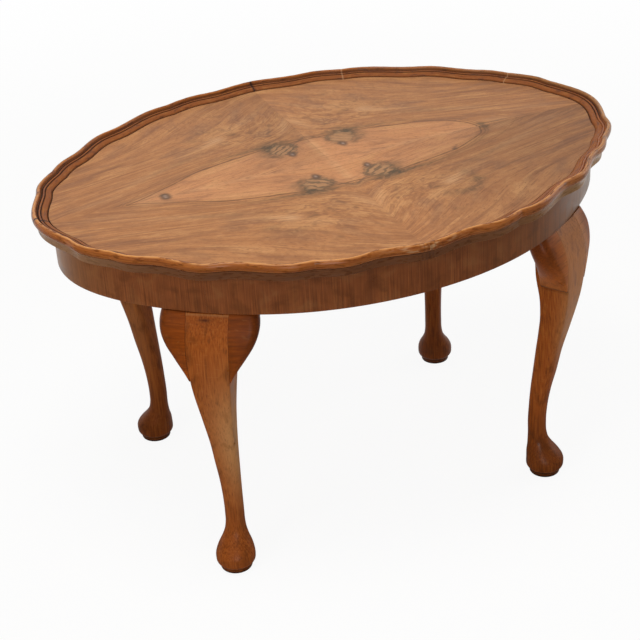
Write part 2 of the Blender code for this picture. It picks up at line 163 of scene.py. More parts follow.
def polish(tree, shader, colour, patch, rough, grain, relief):
    """Joins colour, a patchy roughness and a fine grain relief, in metres, to the shader."""
    tree.links.new(colour, shader.inputs["Base Color"])
    span = {0: patch, 1: PATCH_LOW, 2: PATCH_HIGH, 3: rough[0], 4: rough[1]}
    gloss = add_node(tree, "MapRange", span, clamp=False)[0]
    tree.links.new(gloss, shader.inputs["Roughness"])
    bump = add_node(tree, "Bump", {"Height": grain, "Strength": GRAIN_STRENGTH, "Distance": relief})[0]
    tree.links.new(bump, shader.inputs["Normal"])


print("orange brown in linear light:", [round(c, 3) for c in linear("#a5683a")])

# %% [markdown]
# ## Floor and light
#
# The table stands in a white photographic studio: soft light from a ceiling panel and from a panel at
# either side, a small lamp whose only work is a glint on the feet, and a white paper that runs under
# the table and up behind it. A white background could be had by pouring light on the paper, but the
# wood would bleach. Here the world is white only to the camera and to reflections of what stands
# behind the table, and the floor mixes a white that only those see with a plain lit one that keeps
# the shadow. Far off the floor is all white, so no horizon shows, and from below it is clear, so the
# underside can be looked at. The room in front of the table is dimmer, so polished wood shows its
# colour there and a pale sheen at the ends, where it mirrors the paper.

# %% Floor and light
FLOOR_HALF = 6.0
FLOOR_DROP = 0.5 * MM
CAMERA_WHITE_SHARE = 0.92
FADE_START, FADE_END = 0.7, 2.5
AMBIENT = 0.35
BACKWARD = (0.37, 0.93, 0.0)
PAPER_START, PAPER_END = 0.0, 0.5
FRONT_DIMNESS = 0.15
FLOOR_ROUGHNESS, FLOOR_SPECULAR = 0.9, 0.1
WHITE = linear("#ffffff")

floor_mesh = bpy.data.meshes.new("floor")
floor_plan = FLOOR_HALF * np.array([(-1, -1), (1, -1), (1, 1), (-1, 1)])
floor_points = np.column_stack([floor_plan, np.full(4, -FLOOR_DROP)])
floor_mesh.from_pydata(floor_points.tolist(), [], [(0, 1, 2, 3)])
floor = bpy.data.objects.new("floor", floor_mesh)
bpy.context.scene.collection.objects.link(floor)
# Matt white paint: an even white without gloss, on which only the shadow shows.
floor_paint, tree, shader = start_material("matt_white_floor_paint", FLOOR_SPECULAR)
shader.inputs["Roughness"].default_value = FLOOR_ROUGHNESS
shader.inputs["Base Color"].default_value = linear("#efeeea")
rays = add_node(tree, "LightPath")
place = add_node(tree, "TexCoord")["Object"]
behind = add_node(tree, "VectorMath", {0: place, 1: BACKWARD}, operation="DOT_PRODUCT")["Value"]
paper = add_node(tree, "MapRange", {0: behind, 1: PAPER_START, 2: PAPER_END, 3: FRONT_DIMNESS})[0]
bright = add_node(tree, "Math", {0: rays["Is Camera Ray"], 1: paper}, operation="MAXIMUM")[0]
distance = add_node(tree, "VectorMath", {0: place}, operation="LENGTH")["Value"]
white = {0: distance, 1: FADE_START, 2: FADE_END, 3: CAMERA_WHITE_SHARE, 4: 1.0}
white = add_node(tree, "MapRange", white, interpolation_type="SMOOTHSTEP")[0]
seen = add_node(tree, "Math", {0: rays["Is Camera Ray"], 1: white}, operation="MULTIPLY")[0]
seen = add_node(tree, "Math", {0: seen, 1: rays["Is Glossy Ray"]}, operation="MAXIMUM")[0]
glow = add_node(tree, "Emission", {"Color": WHITE, "Strength": bright})[0]
blend = add_node(tree, "MixShader", {0: seen, 1: shader.outputs[0], 2: glow})[0]
from_below = add_node(tree, "NewGeometry")["Backfacing"]
clear = add_node(tree, "BsdfTransparent")[0]
blend = add_node(tree, "MixShader", {0: from_below, 1: blend, 2: clear})[0]
tree.links.new(blend, tree.nodes["Material Output"].inputs["Surface"])
floor_mesh.materials.append(floor_paint)

world = bpy.data.worlds.new("studio")
bpy.context.scene.world = world
world.use_nodes = True
tree = world.node_tree
rays = add_node(tree, "LightPath")
way = add_node(tree, "TexCoord")["Generated"]
behind = add_node(tree, "VectorMath", {0: way, 1: BACKWARD}, operation="DOT_PRODUCT")["Value"]
paper = add_node(tree, "MapRange", {0: behind, 1: PAPER_START, 2: PAPER_END})[0]
mirrored = add_node(tree, "Math", {0: rays["Is Glossy Ray"], 1: paper}, operation="MULTIPLY")[0]
seen = add_node(tree, "Math", {0: rays["Is Camera Ray"], 1: mirrored}, operation="MAXIMUM")[0]
level = add_node(tree, "MapRange", {0: seen, 1: 0.0, 2: 1.0, 3: AMBIENT, 4: 1.0})[0]
sky = tree.nodes["Background"]
sky.inputs["Color"].default_value = WHITE
tree.links.new(level, sky.inputs["Strength"])
print("floor and world:", floor.name, world.name)

# %% Lamps
LAMP_AIM = Vector((0.0, 0.0, 0.4))


def softbox(name, size, place, watts, lights=True, shines=True):
    """A square lamp turned to the table, which may only light the wood or only shine in its polish."""
    lamp = bpy.data.lights.new(name, "AREA")
    lamp.size = size
    lamp.energy = watts
    box = bpy.data.objects.new(name, lamp)
    bpy.context.scene.collection.objects.link(box)
    box.location = place
    box.rotation_euler = (LAMP_AIM - Vector(place)).to_track_quat("-Z", "Y").to_euler()
    box.visible_camera = False
    box.visible_diffuse = lights
    box.visible_glossy = shines


softbox("ceiling_panel", 0.9, (-0.4, -0.4, 2.4), 25.0)
softbox("left_panel", 0.8, (-2.1, -1.15, 1.4), 13.0, shines=False)
softbox("right_panel", 1.2, (2.3, -0.1, 1.2), 10.5)
softbox("catch_light", 0.7, (-0.86, -2.2, 0.9), 14.0, lights=False)

# %% [markdown]
# ## Meshes from grids
#
# A moulding, a leg or a leaf of veneer is a grid of points bent into shape: rows run one way and
# columns the other. One function makes the mesh from such a grid, closes the columns into a tube and
# caps the two ends. Other numbers can ride on the points as attributes, such as the place of each
# point in the plank that it was cut from, and the finishes read those.

# %% Meshes from grids
CREASE = math.radians(38.0)


def grid_faces(rows, columns, closed):
    """Corner numbers of every square of a grid, whose last column may join the first."""
    r, c = np.meshgrid(np.arange(rows - 1), np.arange(columns - (not closed)), indexing="ij")
    following = (c + 1) % columns
    here, ahead = r * columns, (r + 1) * columns
    corners = [here + c, here + following, ahead + following, ahead + c]
    return np.stack(corners, -1).reshape(-1, 4)


def tube_faces(rows, columns):
    """Faces of a closed tube of rings, with a cap at either end."""
    last = (rows - 1) * columns
    caps = [list(range(columns))[::-1], list(range(last, last + columns))]
    return grid_faces(rows, columns, True).tolist() + caps


def make_piece(name, points, faces, riding, finish, node):
    """A piece of the table from points and faces, turned outward, with numbers riding on its points."""
    mesh = bpy.data.meshes.new(name)
    mesh.from_pydata(points.reshape(-1, 3).tolist(), [], faces)
    shell = bmesh.new()
    shell.from_mesh(mesh)
    if shell.calc_volume(signed=True) < 0:
        bmesh.ops.reverse_faces(shell, faces=shell.faces)
    shell.to_mesh(mesh)
    shell.free()
    for key, values in riding.items():
        flat = np.asarray(values, np.float32).reshape(len(mesh.vertices), -1)
        kind, field = ("FLOAT_VECTOR", "vector") if flat.shape[1] == 3 else ("FLOAT", "value")
        mesh.attributes.new(key, kind, "POINT").data.foreach_set(field, flat.ravel())
    mesh.shade_smooth()
    mesh.set_sharp_from_angle(angle=CREASE)
    mesh.materials.append(finish)
    piece = bpy.data.objects.new(name, mesh)
    bpy.context.scene.collection.objects.link(piece)
    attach(piece, "root")
    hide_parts(node)
    return piece


print("faces of a small capped tube:", len(tube_faces(3, 8)))

# %% [markdown]
# ## The oval outline
#
# Rim, veneer, apron and legs all follow one outline: an ellipse whose ends are a little fuller than a
# true one, with a scalloped edge cut into its crest. Such scallops are cut with a template, one quarter
# at a time, so the four quarters mirror each other. A table of turning points for one quarter, eased
# from one to the next, gives them all.

# %% The oval outline
HALF_LENGTH = 372.6 * MM
HALF_WIDTH = 274.2 * MM
END_FULLNESS = 5.5 * MM
SHOULDER_FULLNESS = 1.5 * MM
SCALLOP_DEPTH = 2.4 * MM
SCALLOP_ANGLES = np.array([0, 13.5, 20, 27.5, 32, 39, 48, 55, 65, 69.5, 75, 81.5, 90])
SCALLOP_SHARES = np.array([0.8, -1, 0.85, -0.3, 0.45, -1.05, 1, -1, 1, -0.2, 0.85, -1.15, 0.9])
# Along the front the crest swings further than the inner edge, except in the middle, where the oval is
# already at its full width.
CREST_SWING = 1.4 * MM
CREST_SHARES = SCALLOP_SHARES * (SCALLOP_ANGLES % 90 > 0)
CUSP_ANGLES = np.array([27.5, 69.5])
QUARTERS = ("back_right", "back_left", "front_left", "front_right")
QUARTER_SIGNS = np.array([(1, 1), (-1, 1), (-1, -1), (1, -1)])


def outward(angle):
    """Unit direction square to the ellipse at an ellipse angle in degrees."""
    t = np.radians(angle)
    n = np.stack([HALF_WIDTH * np.cos(t), HALF_LENGTH * np.sin(t)], -1)
    return n / np.linalg.norm(n, axis=-1, keepdims=True)


def smooth_outline(angle, offset=0.0):
    """The ellipse with its fuller ends, moved out by an offset along its normal."""
    t = np.radians(angle)
    ellipse = np.stack([HALF_LENGTH * np.cos(t), HALF_WIDTH * np.sin(t)], -1)
    swell = END_FULLNESS * np.cos(4 * t) + SHOULDER_FULLNESS * np.cos(6 * t)
    return ellipse + outward(angle) * (swell + offset)[..., None]


def folded(angle):
    """The angle carried into the first quarter by mirroring."""
    return np.abs((angle + 90.0) % 180.0 - 90.0)


def scallop(angle, depth=SCALLOP_DEPTH, shares=SCALLOP_SHARES):
    """How far the edge stands out: eased by a cosine between turning points, pointed at a cusp."""
    a = folded(angle)
    k = np.clip(np.searchsorted(SCALLOP_ANGLES, a, side="right") - 1, 0, len(SCALLOP_ANGLES) - 2)
    u = (a - SCALLOP_ANGLES[k]) / (SCALLOP_ANGLES[k + 1] - SCALLOP_ANGLES[k])
    after_cusp = np.isin(SCALLOP_ANGLES[k], CUSP_ANGLES)
    before_cusp = np.isin(SCALLOP_ANGLES[k + 1], CUSP_ANGLES)
    eased = np.where(before_cusp, 1 - np.cos(u * np.pi / 2), 0.5 - 0.5 * np.cos(u * np.pi))
    eased = np.where(after_cusp, np.sin(u * np.pi / 2), eased)
    return depth * (shares[k] + (shares[k + 1] - shares[k]) * eased)


def run_along(points):
    """Length from the first point to each point of a line."""
    steps = np.linalg.norm(np.diff(points, axis=0), axis=-1)
    return np.concatenate([[0.0], np.cumsum(steps)])


def bump_at(value, middle, width):
    """A soft bump: one at its middle, falling off as a bell curve over a width."""
    return np.exp(-((value - middle) / width) ** 2)


def soft_line(value, strength, place, width):
    """A soft line: a bump of a given strength."""
    return strength * bump_at(value, place, width)


round_the_rim = smooth_outline(np.linspace(0, 360, 721))
print("length of the rim in mm:", round(run_along(round_the_rim)[-1] / MM))

# %% [markdown]
# ## The piecrust rim
#
# The rim is a moulding about 23 mm high, planed from solid walnut: outside a fat bead over a hollow
# band, then the crest, and inside it a groove, a narrow ridge, a second groove and a sloping band that
# falls to the field. It could be a bevelled curve, but a section carried along the scalloped line
# keeps the grooves sharp and lets each point remember where in the section it lies.

# %% The rim's section
rim_low, rim_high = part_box("rim_front_left")
CREST_HEIGHT = rim_high.z
RIM_DEPTH = rim_high.z - rim_low.z
FIELD_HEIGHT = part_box("veneer_front_left")[1].z
FIELD_DROP = CREST_HEIGHT - FIELD_HEIGHT
RIM_INNER = 16.5 * MM
# Places in the section in mm, outward or upward from the crest; a line also has its width.
INNER_GROOVES_OUT = ((-3.9, 1.5), (-7.9, 1.0), (-16.2, 1.3))
OUTER_GROOVE_UP, OUTER_GROOVE_OUT = (-11.9, 0.9), -2.0
CREST_OUT, CREST_UP = (0.2, 1.7), (0.0, 2.4)
BEAD_START_OUT, BEAD_RUN, BEAD_FOOT_UP = 0.2, 1.6, -9.0
TOP_FOOT_UP, WAIST_UP = -10.0, -12.4
SWING_START_OUT, SWING_RUN = -14.7, 8.0
INNER_BAND_OUT = -8.8


def turned(start, end, centre, count):
    """Points of a quarter ellipse about a centre, from start to end, without the start."""
    turn = np.linspace(0, np.pi / 2, count + 1)[1:, None]
    start, end, centre = np.array(start), np.array(end), np.array(centre)
    return centre + (start - centre) * np.cos(turn) + (end - centre) * np.sin(turn)


def bowed(start, end, rise, count):
    """Points from start to end, without the start, that bow to the left by half a sine wave."""
    u = np.linspace(0, 1, count + 1)[1:, None]
    start, end = np.array(start), np.array(end)
    way = (end - start) / np.linalg.norm(end - start)
    left = np.array([-way[1], way[0]])
    return start + (end - start) * u + left * rise * np.sin(np.pi * u)


def rim_section():
    """Outline in metres from the crest, starting at the inner bottom corner and going outward."""
    inner, foot, field = -RIM_INNER / MM, -RIM_DEPTH / MM, -FIELD_DROP / MM
    start, corner, lip = (inner, foot), (-2.2, foot), (-1.6, foot + 0.6)
    waist, nick, bead, top = (-0.7, WAIST_UP), (0.3, -11.2), (3.795, -5.5), (0.0, 0.0)
    groove, ridge, second_groove, slope = (-2.6, -4.6), (-4.9, -4.6), (-7.2, -5.0), (-8.5, -5.4)
    cove, end = (-14.7, -8.3), (inner, field)
    parts = [
        [start],
        bowed(start, corner, 0, 6),
        turned(corner, lip, (corner[0], lip[1]), 3),
        bowed(lip, waist, 0.9, 10),
        bowed(waist, nick, 0.8, 6),
        turned(nick, bead, (nick[0], bead[1]), 10),
        turned(bead, top, (top[0], bead[1]), 14),
        turned(top, groove, (top[0], groove[1]), 10),
        bowed(groove, ridge, 0.9, 8),
        bowed(ridge, second_groove, -0.5, 8),
        bowed(second_groove, slope, 0.9, 6),
        bowed(slope, cove, -0.55, 12),
        bowed(cove, end, 0.7, 6),
    ]
    return np.concatenate([np.asarray(part, float) for part in parts]) * MM


section = rim_section()
section_out, section_up = section[:, 0] / MM, section[:, 1] / MM
inside_crest = section_out < 0
on_top = section_up > TOP_FOOT_UP
hollow = sum(bump_at(section_out, *groove) for groove in INNER_GROOVES_OUT) * (inside_crest & on_top)
hollow = hollow + bump_at(section_up, *OUTER_GROOVE_UP) * (section_out > OUTER_GROOVE_OUT)
hollow = np.clip(hollow, 0, 1)
crest = bump_at(section_out, *CREST_OUT) * bump_at(section_up, *CREST_UP)
outer_side = np.clip((section_out - BEAD_START_OUT) / BEAD_RUN, 0, 1) * (section_up > BEAD_FOOT_UP)
lower_band = (section_up < WAIST_UP) * 1.0
swinging = np.clip((section_out - SWING_START_OUT) / SWING_RUN, 0, 1)
inner_band = (inside_crest & on_top & (section_out < INNER_BAND_OUT)) * 1.0
print("points in the rim's section:", len(section))

# %% [markdown]
# ## The finish of the rim
#
# Solid walnut under an old brown polish: the polish lies thick and nearly black in the grooves, has
# worn to a light orange tan on the crest, and is broken by rubbed spots. Painted light lies on it as
# well: a highlight on the crest and on the front of the bead, shade on the lower band and on the back
# of the rim, and a pale sheen at the two ends. The streaks follow the moulding, so the pattern reads
# the place along and across it, not the place in space.

# %% Polished walnut moulding


def walnut_moulding():
    """Streaked walnut, dark polish in hollows, a worn crest, painted highlight, shade and sheen: satin, warm,
    a little patchy.
    """
    made, tree, shader = start_material("polished_walnut_moulding", 0.2)
    grain = add_node(tree, "Attribute", attribute_name="grain")["Vector"]
    part = {
        name: add_node(tree, "Attribute", attribute_name=name)["Fac"]
        for name in ("band", "lower", "crest", "bead_wear_and_highlight", "painted_right_sheen", "shade", "hollow", "bare_and_sheen", "mark")
    }
    streak = streaks(tree, grain, (60 * MM, 1.6 * MM, 1.0))
    patch = streaks(tree, grain, (14 * MM, 4 * MM, 1.0), 4.0)
    stops = [(0.25, "#723814"), (0.5, "#96521f"), (0.75, "#b0692d")]
    wood = add_node(tree, "ValToRGB", {0: streak}, stops)[0]
    # Some of these layers are painted light: the darker lower band is painted shade under the bead, the pale
    # crest and the pale front of the bead are wear with a painted highlight, the olive right end and the pale
    # lower band at the left end are painted sheen, and the dark outer side at the back is painted shade.
    colour = lay_over(tree, wood, [
        (part["band"], 0, 1, 0.7, "#84491f"),
        (patch, 0.52, 0.7, 0.5, "#a86f3a", part["band"]),
        (part["lower"], 0, 1, 0.75, "#5e3b25"),
        (patch, 0.34, 0.58, 1.0, "#d89756", part["crest"]),
        (patch, 0.46, 0.32, 0.6, "#4c260f"),
        (patch, 0.5, 0.62, 0.8, "#c39468", part["bead_wear_and_highlight"]),
        (part["painted_right_sheen"], 0, 2, 0.6, "#a1875f"),
        (part["shade"], 0, 1, 0.8, "#3a2812"),
        (part["hollow"], 0, 0.9, 0.93, "#2a1206"),
        (part["bare_and_sheen"], 0, 1, 0.35, "#d0a67c"),
        (part["mark"], 0, 1, 1.0, "#24120a"),
    ])
    dull = add_node(tree, "Math", {0: part["hollow"], 1: patch}, operation="ADD")[0]
    dull = add_node(tree, "Math", {0: part["band"], 1: 0.5, 2: dull}, operation="MULTIPLY_ADD")[0]
    polish(tree, shader, colour, dull, (0.2, 0.4), streak, 0.15 * MM)
    return made


moulding_finish = walnut_moulding()
print("finish:", moulding_finish.name)

# %% [markdown]
# ## The rim's four quarters
#
# Four lengths of moulding are butted at the ends of the oval's axes, where dark joints show. A mirrored
# copy would repeat every worn spot, so each quarter is carried along its own stretch of the line, with
# its own wear. Each point keeps a few numbers for the finish: how deep in a groove it lies, how worn it
# is, and whether it faces the back, the left or the right, which sets where painted shade, a painted
# highlight and a painted sheen lie.

# %% The rim's four quarters
RIM_STEP = 0.25
JOINT_GAP = 0.04 * MM
# Two waves along the crest, in radians for each degree, make its wear uneven.
CREST_WEAR = 0.3 * MM
WEAR_WAVES = (0.9, 2.3)
# How dark the four joints are: at the right end, the back, the left end and the front.
JOINT_DARKNESS = (0.35, 0.9, 1.0, 0.2)
JOINT_LINE = 1.8 * MM
# Scuffs, and worn polish with a painted highlight on the bead, at the ends of the short axis, and bare
# cusps, with widths in degrees.
SCUFF_WIDTH, SCUFF_WAVE = 2.4, 9.0
SCUFF_SHARES = (0.25, 0.25, 0.5, 0.5)
BEAD_HIGHLIGHT_WIDTH = 6.0
BEAD_HIGHLIGHT_SHARES = (0, 0, 1, 1)
CUSP_WIDTH, CUSP_FOOT_OUT = 0.16, 1.0
CUSP_SHARES = (1, 0, 0, 0)
# How the rim changes with the way it faces: shares and limits of the outward direction. Most of them
# place painted light: shade on the back, a fainter crest highlight at the back and the right, less
# shade on the lower band at the right, and sheen at the left end's lower band and at the right end.
SWING_GAIN, SWING_LOSS = 1.4, 0.3
BACK_LEAST, BACK_GAIN = 0.1, 1.2
LEFT_SHARPNESS = 4
RIGHT_GAIN = 1.6
FRONT_START, FRONT_RUN = 0.2, 0.3
CREST_LOSS_BACK, CREST_LOSS_RIGHT = 0.7, 0.6
GROOVE_LOSS, LOWER_LOSS = 0.9, 0.8
SHEEN_FOOT_OUT, LOWER_SHEEN_GAIN = -2.5, 1.8


def rim_quarter(quarter):
    """One quarter: the section carried along the crest line, its crest worn down a little unevenly."""
    angle = 90.0 * quarter + np.linspace(0, 90, int(90 / RIM_STEP) + 1)
    along = run_along(smooth_outline(angle))
    angle = np.clip(angle, *np.interp([JOINT_GAP, along[-1] - JOINT_GAP], along, angle))
    to_right, to_back = outward(angle)[:, :1], outward(angle)[:, 1:]
    at_front = np.clip(-SWING_GAIN * to_back - SWING_LOSS, 0, 1)
    side = section[:, 0] + scallop(angle)[:, None]
    side += at_front * swinging * scallop(angle, CREST_SWING, CREST_SHARES)[:, None]
    plan = smooth_outline(angle)[:, None, :] + outward(angle)[:, None, :] * side[..., None]
    waves = sum(np.sin(wave * angle + turn * quarter) for turn, wave in enumerate(WEAR_WAVES, 1))
    dents = 0.5 + 0.25 * waves
    height = CREST_HEIGHT + section[:, 1] - CREST_WEAR * dents[:, None] * crest
    shape = height.shape
    across = np.broadcast_to(run_along(section), shape)
    lengthways = np.broadcast_to(along[:, None] + quarter, shape)
    joints = JOINT_DARKNESS[quarter] * bump_at(along, 0, JOINT_LINE)
    joints += JOINT_DARKNESS[(quarter + 1) % 4] * bump_at(along, along[-1], JOINT_LINE)
    scuff = SCUFF_SHARES[quarter] * bump_at(folded(angle), 90.0, SCUFF_WIDTH)
    mark = np.maximum(joints, scuff * (0.5 + 0.5 * np.sin(SCUFF_WAVE * angle)))
    bead_wear_and_highlight = BEAD_HIGHLIGHT_SHARES[quarter] * bump_at(folded(angle), 90.0, BEAD_HIGHLIGHT_WIDTH)
    cusp = CUSP_SHARES[quarter] * bump_at(folded(angle)[:, None], CUSP_ANGLES, CUSP_WIDTH).sum(-1)
    bare_cusp = cusp[:, None] * ((section_out < CUSP_FOOT_OUT) & on_top)
    at_back = np.clip(BACK_LEAST + BACK_GAIN * to_back, 0, 1)
    at_left = np.clip(-to_right, 0, 1) ** LEFT_SHARPNESS
    at_right = np.clip(to_right, 0, 1)
    well_right = np.clip(RIGHT_GAIN * at_right, 0, 1)
    at_front_right = well_right * np.clip((-to_back - FRONT_START) / FRONT_RUN, 0, 1)
    # Painted light rides on these points as well: shade on the outer side at the back and on the lower band
    # under the bead, a highlight on the crest and on the front of the bead, and sheen on the lower band at
    # the left end and on the right end.
    riding = {
        "grain": np.stack([lengthways, across, np.zeros(shape)], -1),
        "hollow": hollow * (1 - GROOVE_LOSS * at_front_right * inside_crest),
        "crest": crest * (1 - CREST_LOSS_BACK * at_back) * (1 - CREST_LOSS_RIGHT * at_right),
        "shade": outer_side * at_back,
        "lower": lower_band * (1 - LOWER_LOSS * well_right),
        "band": np.broadcast_to(inner_band, shape),
        "mark": np.broadcast_to(mark[:, None], shape),
        "bare_and_sheen": np.maximum(bare_cusp, at_left * lower_band),
        "bead_wear_and_highlight": bead_wear_and_highlight[:, None] * outer_side,
        "painted_right_sheen": at_right * (section_out > SHEEN_FOOT_OUT) * (1 + LOWER_SHEEN_GAIN * lower_band),
    }
    points = np.concatenate([plan, height[..., None]], -1)
    name = QUARTERS[quarter]
    faces = tube_faces(*shape)
    return make_piece(
        "rim_moulding_" + name, points, faces, riding, moulding_finish, "rim_" + name)


for quarter in range(4):
    moulding = rim_quarter(quarter)
    print(moulding.name, "faces:", len(moulding.data.polygons))

# %% [markdown]
# ## The figure of the veneer
#
# The field is laid with four leaves cut from one walnut log and opened like a book, so one quarter's
# figure, mirrored twice, gives the whole: an almond of plain pinkish heartwood, browner streaks that
# run along it and fan out to the rim, and burr knots with a striped shell, a dark eye and a grey-green
# cloud. A painted picture could show this, but worked-out numbers on each point of the leaf keep it
# sharp at any size: the distance from the almond's edge, the place in each knot, and soft stains.

# %% The figure of the veneer
ALMOND_LENGTH = 213 * MM
ALMOND_WIDTH = 73 * MM
ALMOND_POWER = 2.0
SHEATH_LENGTH = 271 * MM
SHEATH_POWER = 4.0
STREAK_SLOPE = 0.42
FAN_LENGTH = 120 * MM
FAN_WIDTH = 80 * MM
# Beside the cross seam the streaks stand steeper, so the mirrored leaves meet there in chevrons.
CHEVRON_PLACE, CHEVRON_SPAN = 145 * MM, 70 * MM
CHEVRON_RISE, CHEVRON_RUN = 40 * MM, 32 * MM
KNOT_CORNERS = np.array([(35, 35), (64, 57), (44, 82), (19, 60)]) * MM
KNOT_POWER = 2.3
EYE_PLACE = np.array([35.5, 38]) * MM
EYE_STRETCH = 0.65
STRIPE_TURN = math.radians(-42)
# A stain round the knot, stronger on the side away from the table's middle.
HALO_PLACE, HALO_WIDTH = 1.15, 0.4
HALO_LEAST, HALO_RISE = 0.25, 0.5
HALO_START, HALO_RUN = 85 * MM, 40 * MM
CURL_PLACE = np.array([100, 114]) * MM
CURL_RADIUS, CURL_WIDTH = 5 * MM, 2.5 * MM
CURL_STRENGTH = 0.2
BURR_PLACE = np.array([60, 130]) * MM
BURR_SIZE = np.array([95, 75]) * MM
# Soft stains in mm: place along and across the leaf, half sizes, turn in degrees, strength.
STAINS = np.array([
    (71, 56, 12, 16, 10, 0.38), (66, 78, 14, 8, -30, 0.35), (10, 76, 14, 2, -37, 0.55),
    (28, 82, 14, 3, 20, 0.35), (52, 90, 22, 5, -6, 0.35), (90, 74, 24, 3, -8, 0.3),
    (43, 108, 13, 2, 15, 0.35), (62, 104, 9, 2, -30, 0.35), (24, 102, 13, 2.5, -20, 0.3),
    (81, 138, 13, 6, 20, 0.4), (135, 143, 22, 5, 15, 0.35), (108, 162, 18, 5, 20, 0.3),
    (48, 122, 20, 12, 30, 0.25), (160, 90, 75, 8, -22, 0.25), (300, 120, 40, 8, -30, 0.2),
    (230, 100, 50, 9, -26, 0.2), (80, 205, 12, 6, 20, 0.35), (70, 218, 20, 5, -10, 0.2),
    (170, 100, 60, 5, -24, 0.2), (205, 72, 55, 5, -22, 0.2), (250, 120, 60, 6, -24, 0.18),
    (22, 62, 5, 10, -20, 0.3), (30, 140, 30, 12, 40, 0.15), (56, 39, 19, 5, 35, 0.5),
    (28, 51, 3.5, 11, 22, 0.45), (44, 77, 15, 6, 0, 0.3), (33, 128, 3, 24, 24, 0.2),
    (108, 79, 32, 6, -8, 0.24),
])
PALES = np.array([
    (107, 130, 13, 10, -20, 0.7), (100, 113, 4, 3, 0, 0.3), (124, 120, 14, 5, -30, 0.35),
    (2, 40, 5, 45, 0, 0.4), (11, 130, 8, 28, 24, 0.42), (130, 2, 80, 3, 0, 0.3),
    (245, 10, 22, 7, -8, 0.4), (140, 112, 40, 6, -22, 0.25), (230, 62, 70, 6, -22, 0.25),
    (70, 160, 26, 8, -30, 0.25), (300, 22, 45, 6, -12, 0.25),
])


def soft_spots(x, y, table):
    """Sum of bell-shaped spots, each turned to its own direction, cut off at one."""
    total = np.zeros(x.shape)
    for spot_x, spot_y, half_x, half_y, degrees, strength in table:
        turn = math.radians(degrees)
        dx, dy = x - spot_x * MM, y - spot_y * MM
        u = (dx * math.cos(turn) + dy * math.sin(turn)) / (half_x * MM)
        v = (dy * math.cos(turn) - dx * math.sin(turn)) / (half_y * MM)
        total += strength * np.exp(-u ** 2 - v ** 2)
    return np.clip(total, 0, 1)


def almond_distance(place):
    """Distance outside the almond: the power mean of both coordinates over its half sizes, by its slope."""
    halves = np.array([ALMOND_LENGTH, ALMOND_WIDTH])
    shares = place / halves
    mean = (shares ** ALMOND_POWER).sum(-1) ** (1 / ALMOND_POWER)
    slope = (shares / mean[..., None]) ** (ALMOND_POWER - 1) / halves
    return (mean - 1) / np.linalg.norm(slope, axis=-1)


def kite(place):
    """How far out a point lies in the knot's kite, one on its sides: a power mean over the four sides."""
    middle = KNOT_CORNERS.mean(0)
    sides = np.roll(KNOT_CORNERS, -1, 0) - KNOT_CORNERS
    normals = np.stack([sides[:, 1], -sides[:, 0]], -1)
    reach = ((KNOT_CORNERS - middle) * normals).sum(-1)
    off = (place - middle) @ normals.T / reach
    return (np.clip(off, 0, None) ** KNOT_POWER).sum(-1) ** (1 / KNOT_POWER)


def leaf_figure(x, y):
    """Numbers for each point of a leaf at x along and y across from the table's middle."""
    fan = FAN_LENGTH * np.exp(-(y / FAN_WIDTH) ** 2)
    across = y + STREAK_SLOPE * x ** 2 / (x + fan + MM)
    across += CHEVRON_RISE * bump_at(y, CHEVRON_PLACE, CHEVRON_SPAN) * (1 - np.exp(-x / CHEVRON_RUN))
    along = x - STREAK_SLOPE * y
    place = np.stack([x, y], -1)
    almond = almond_distance(place)
    sheath = y - ALMOND_WIDTH * (1 - (x / SHEATH_LENGTH) ** SHEATH_POWER)
    steep = ALMOND_WIDTH * SHEATH_POWER * (x / SHEATH_LENGTH) ** (SHEATH_POWER - 1) / SHEATH_LENGTH
    shell = kite(place)
    stripe = y * math.cos(STRIPE_TURN) - x * math.sin(STRIPE_TURN)
    eye = np.linalg.norm((place - EYE_PLACE) * np.array([1, EYE_STRETCH]), axis=-1)
    away = np.clip((x + y - HALO_START) / HALO_RUN, 0, 1)
    halo = bump_at(shell, HALO_PLACE, HALO_WIDTH) * (HALO_LEAST + HALO_RISE * away)
    from_curl = np.linalg.norm(place - CURL_PLACE, axis=-1)
    curl = CURL_STRENGTH * bump_at(from_curl, CURL_RADIUS, CURL_WIDTH)
    return {
        "grain": np.stack([along, across, np.zeros(x.shape)], -1),
        "almond": np.stack([almond, sheath / np.sqrt(1 + steep ** 2), np.zeros(x.shape)], -1),
        "knot": np.stack([shell, stripe, eye], -1),
        "stain": np.clip(soft_spots(x, y, STAINS) + halo + curl, 0, 1),
        "pale": soft_spots(x, y, PALES),
        "burr": np.exp(-(((place - BURR_PLACE) / BURR_SIZE) ** 2).sum(-1)),
    }


print("stains and pale places in a leaf:", len(STAINS), len(PALES))

# %% [markdown]
# ## What differs from leaf to leaf
#
# Leaves cut one after another from a log are nearly alike, but not quite: a knot's stripes close up, a
# stain grows stronger, and a small dark knot shows in one leaf only. Mirrored grain also throws light
# back unevenly, so each leaf has its own tone. One function takes the shared figure and adds these.

# %% What differs from leaf to leaf
# Tables of four go from the back right leaf to the back left, front left and front right ones.
LEAF_PLANK_STEP = np.array([0, 0, 0.12])
# Stripes in the four knots: how close they lie, and how strong they are.
STRIPE_CLOSENESS = (1.2, 1.5, 1.0, 1.0)
STRIPE_SHARES = (0.35, 1.0, 0.9, 0.9)
# Dark spot and streaks at the almond's tip, written as the stains are.
TIP_STAINS = np.array([(219, 5, 6, 6, 0, 0.8), (236, 4, 20, 2.5, -5, 0.5), (285, 3, 55, 2.2, -2, 0.45)])
TIP_SHARES = (1.0, 0.55, 0.35, 0.6)
# In the two left leaves the almond runs out into a tail, with a grey eye on the seam.
TAIL_START, TAIL_END = 190 * MM, 270 * MM
TAIL_WIDTH = 33 * MM
TAIL_HOLLOW = 1.2
TIP_EYE = np.array([220, 2]) * MM
TIP_EYE_SPREAD = 1.3
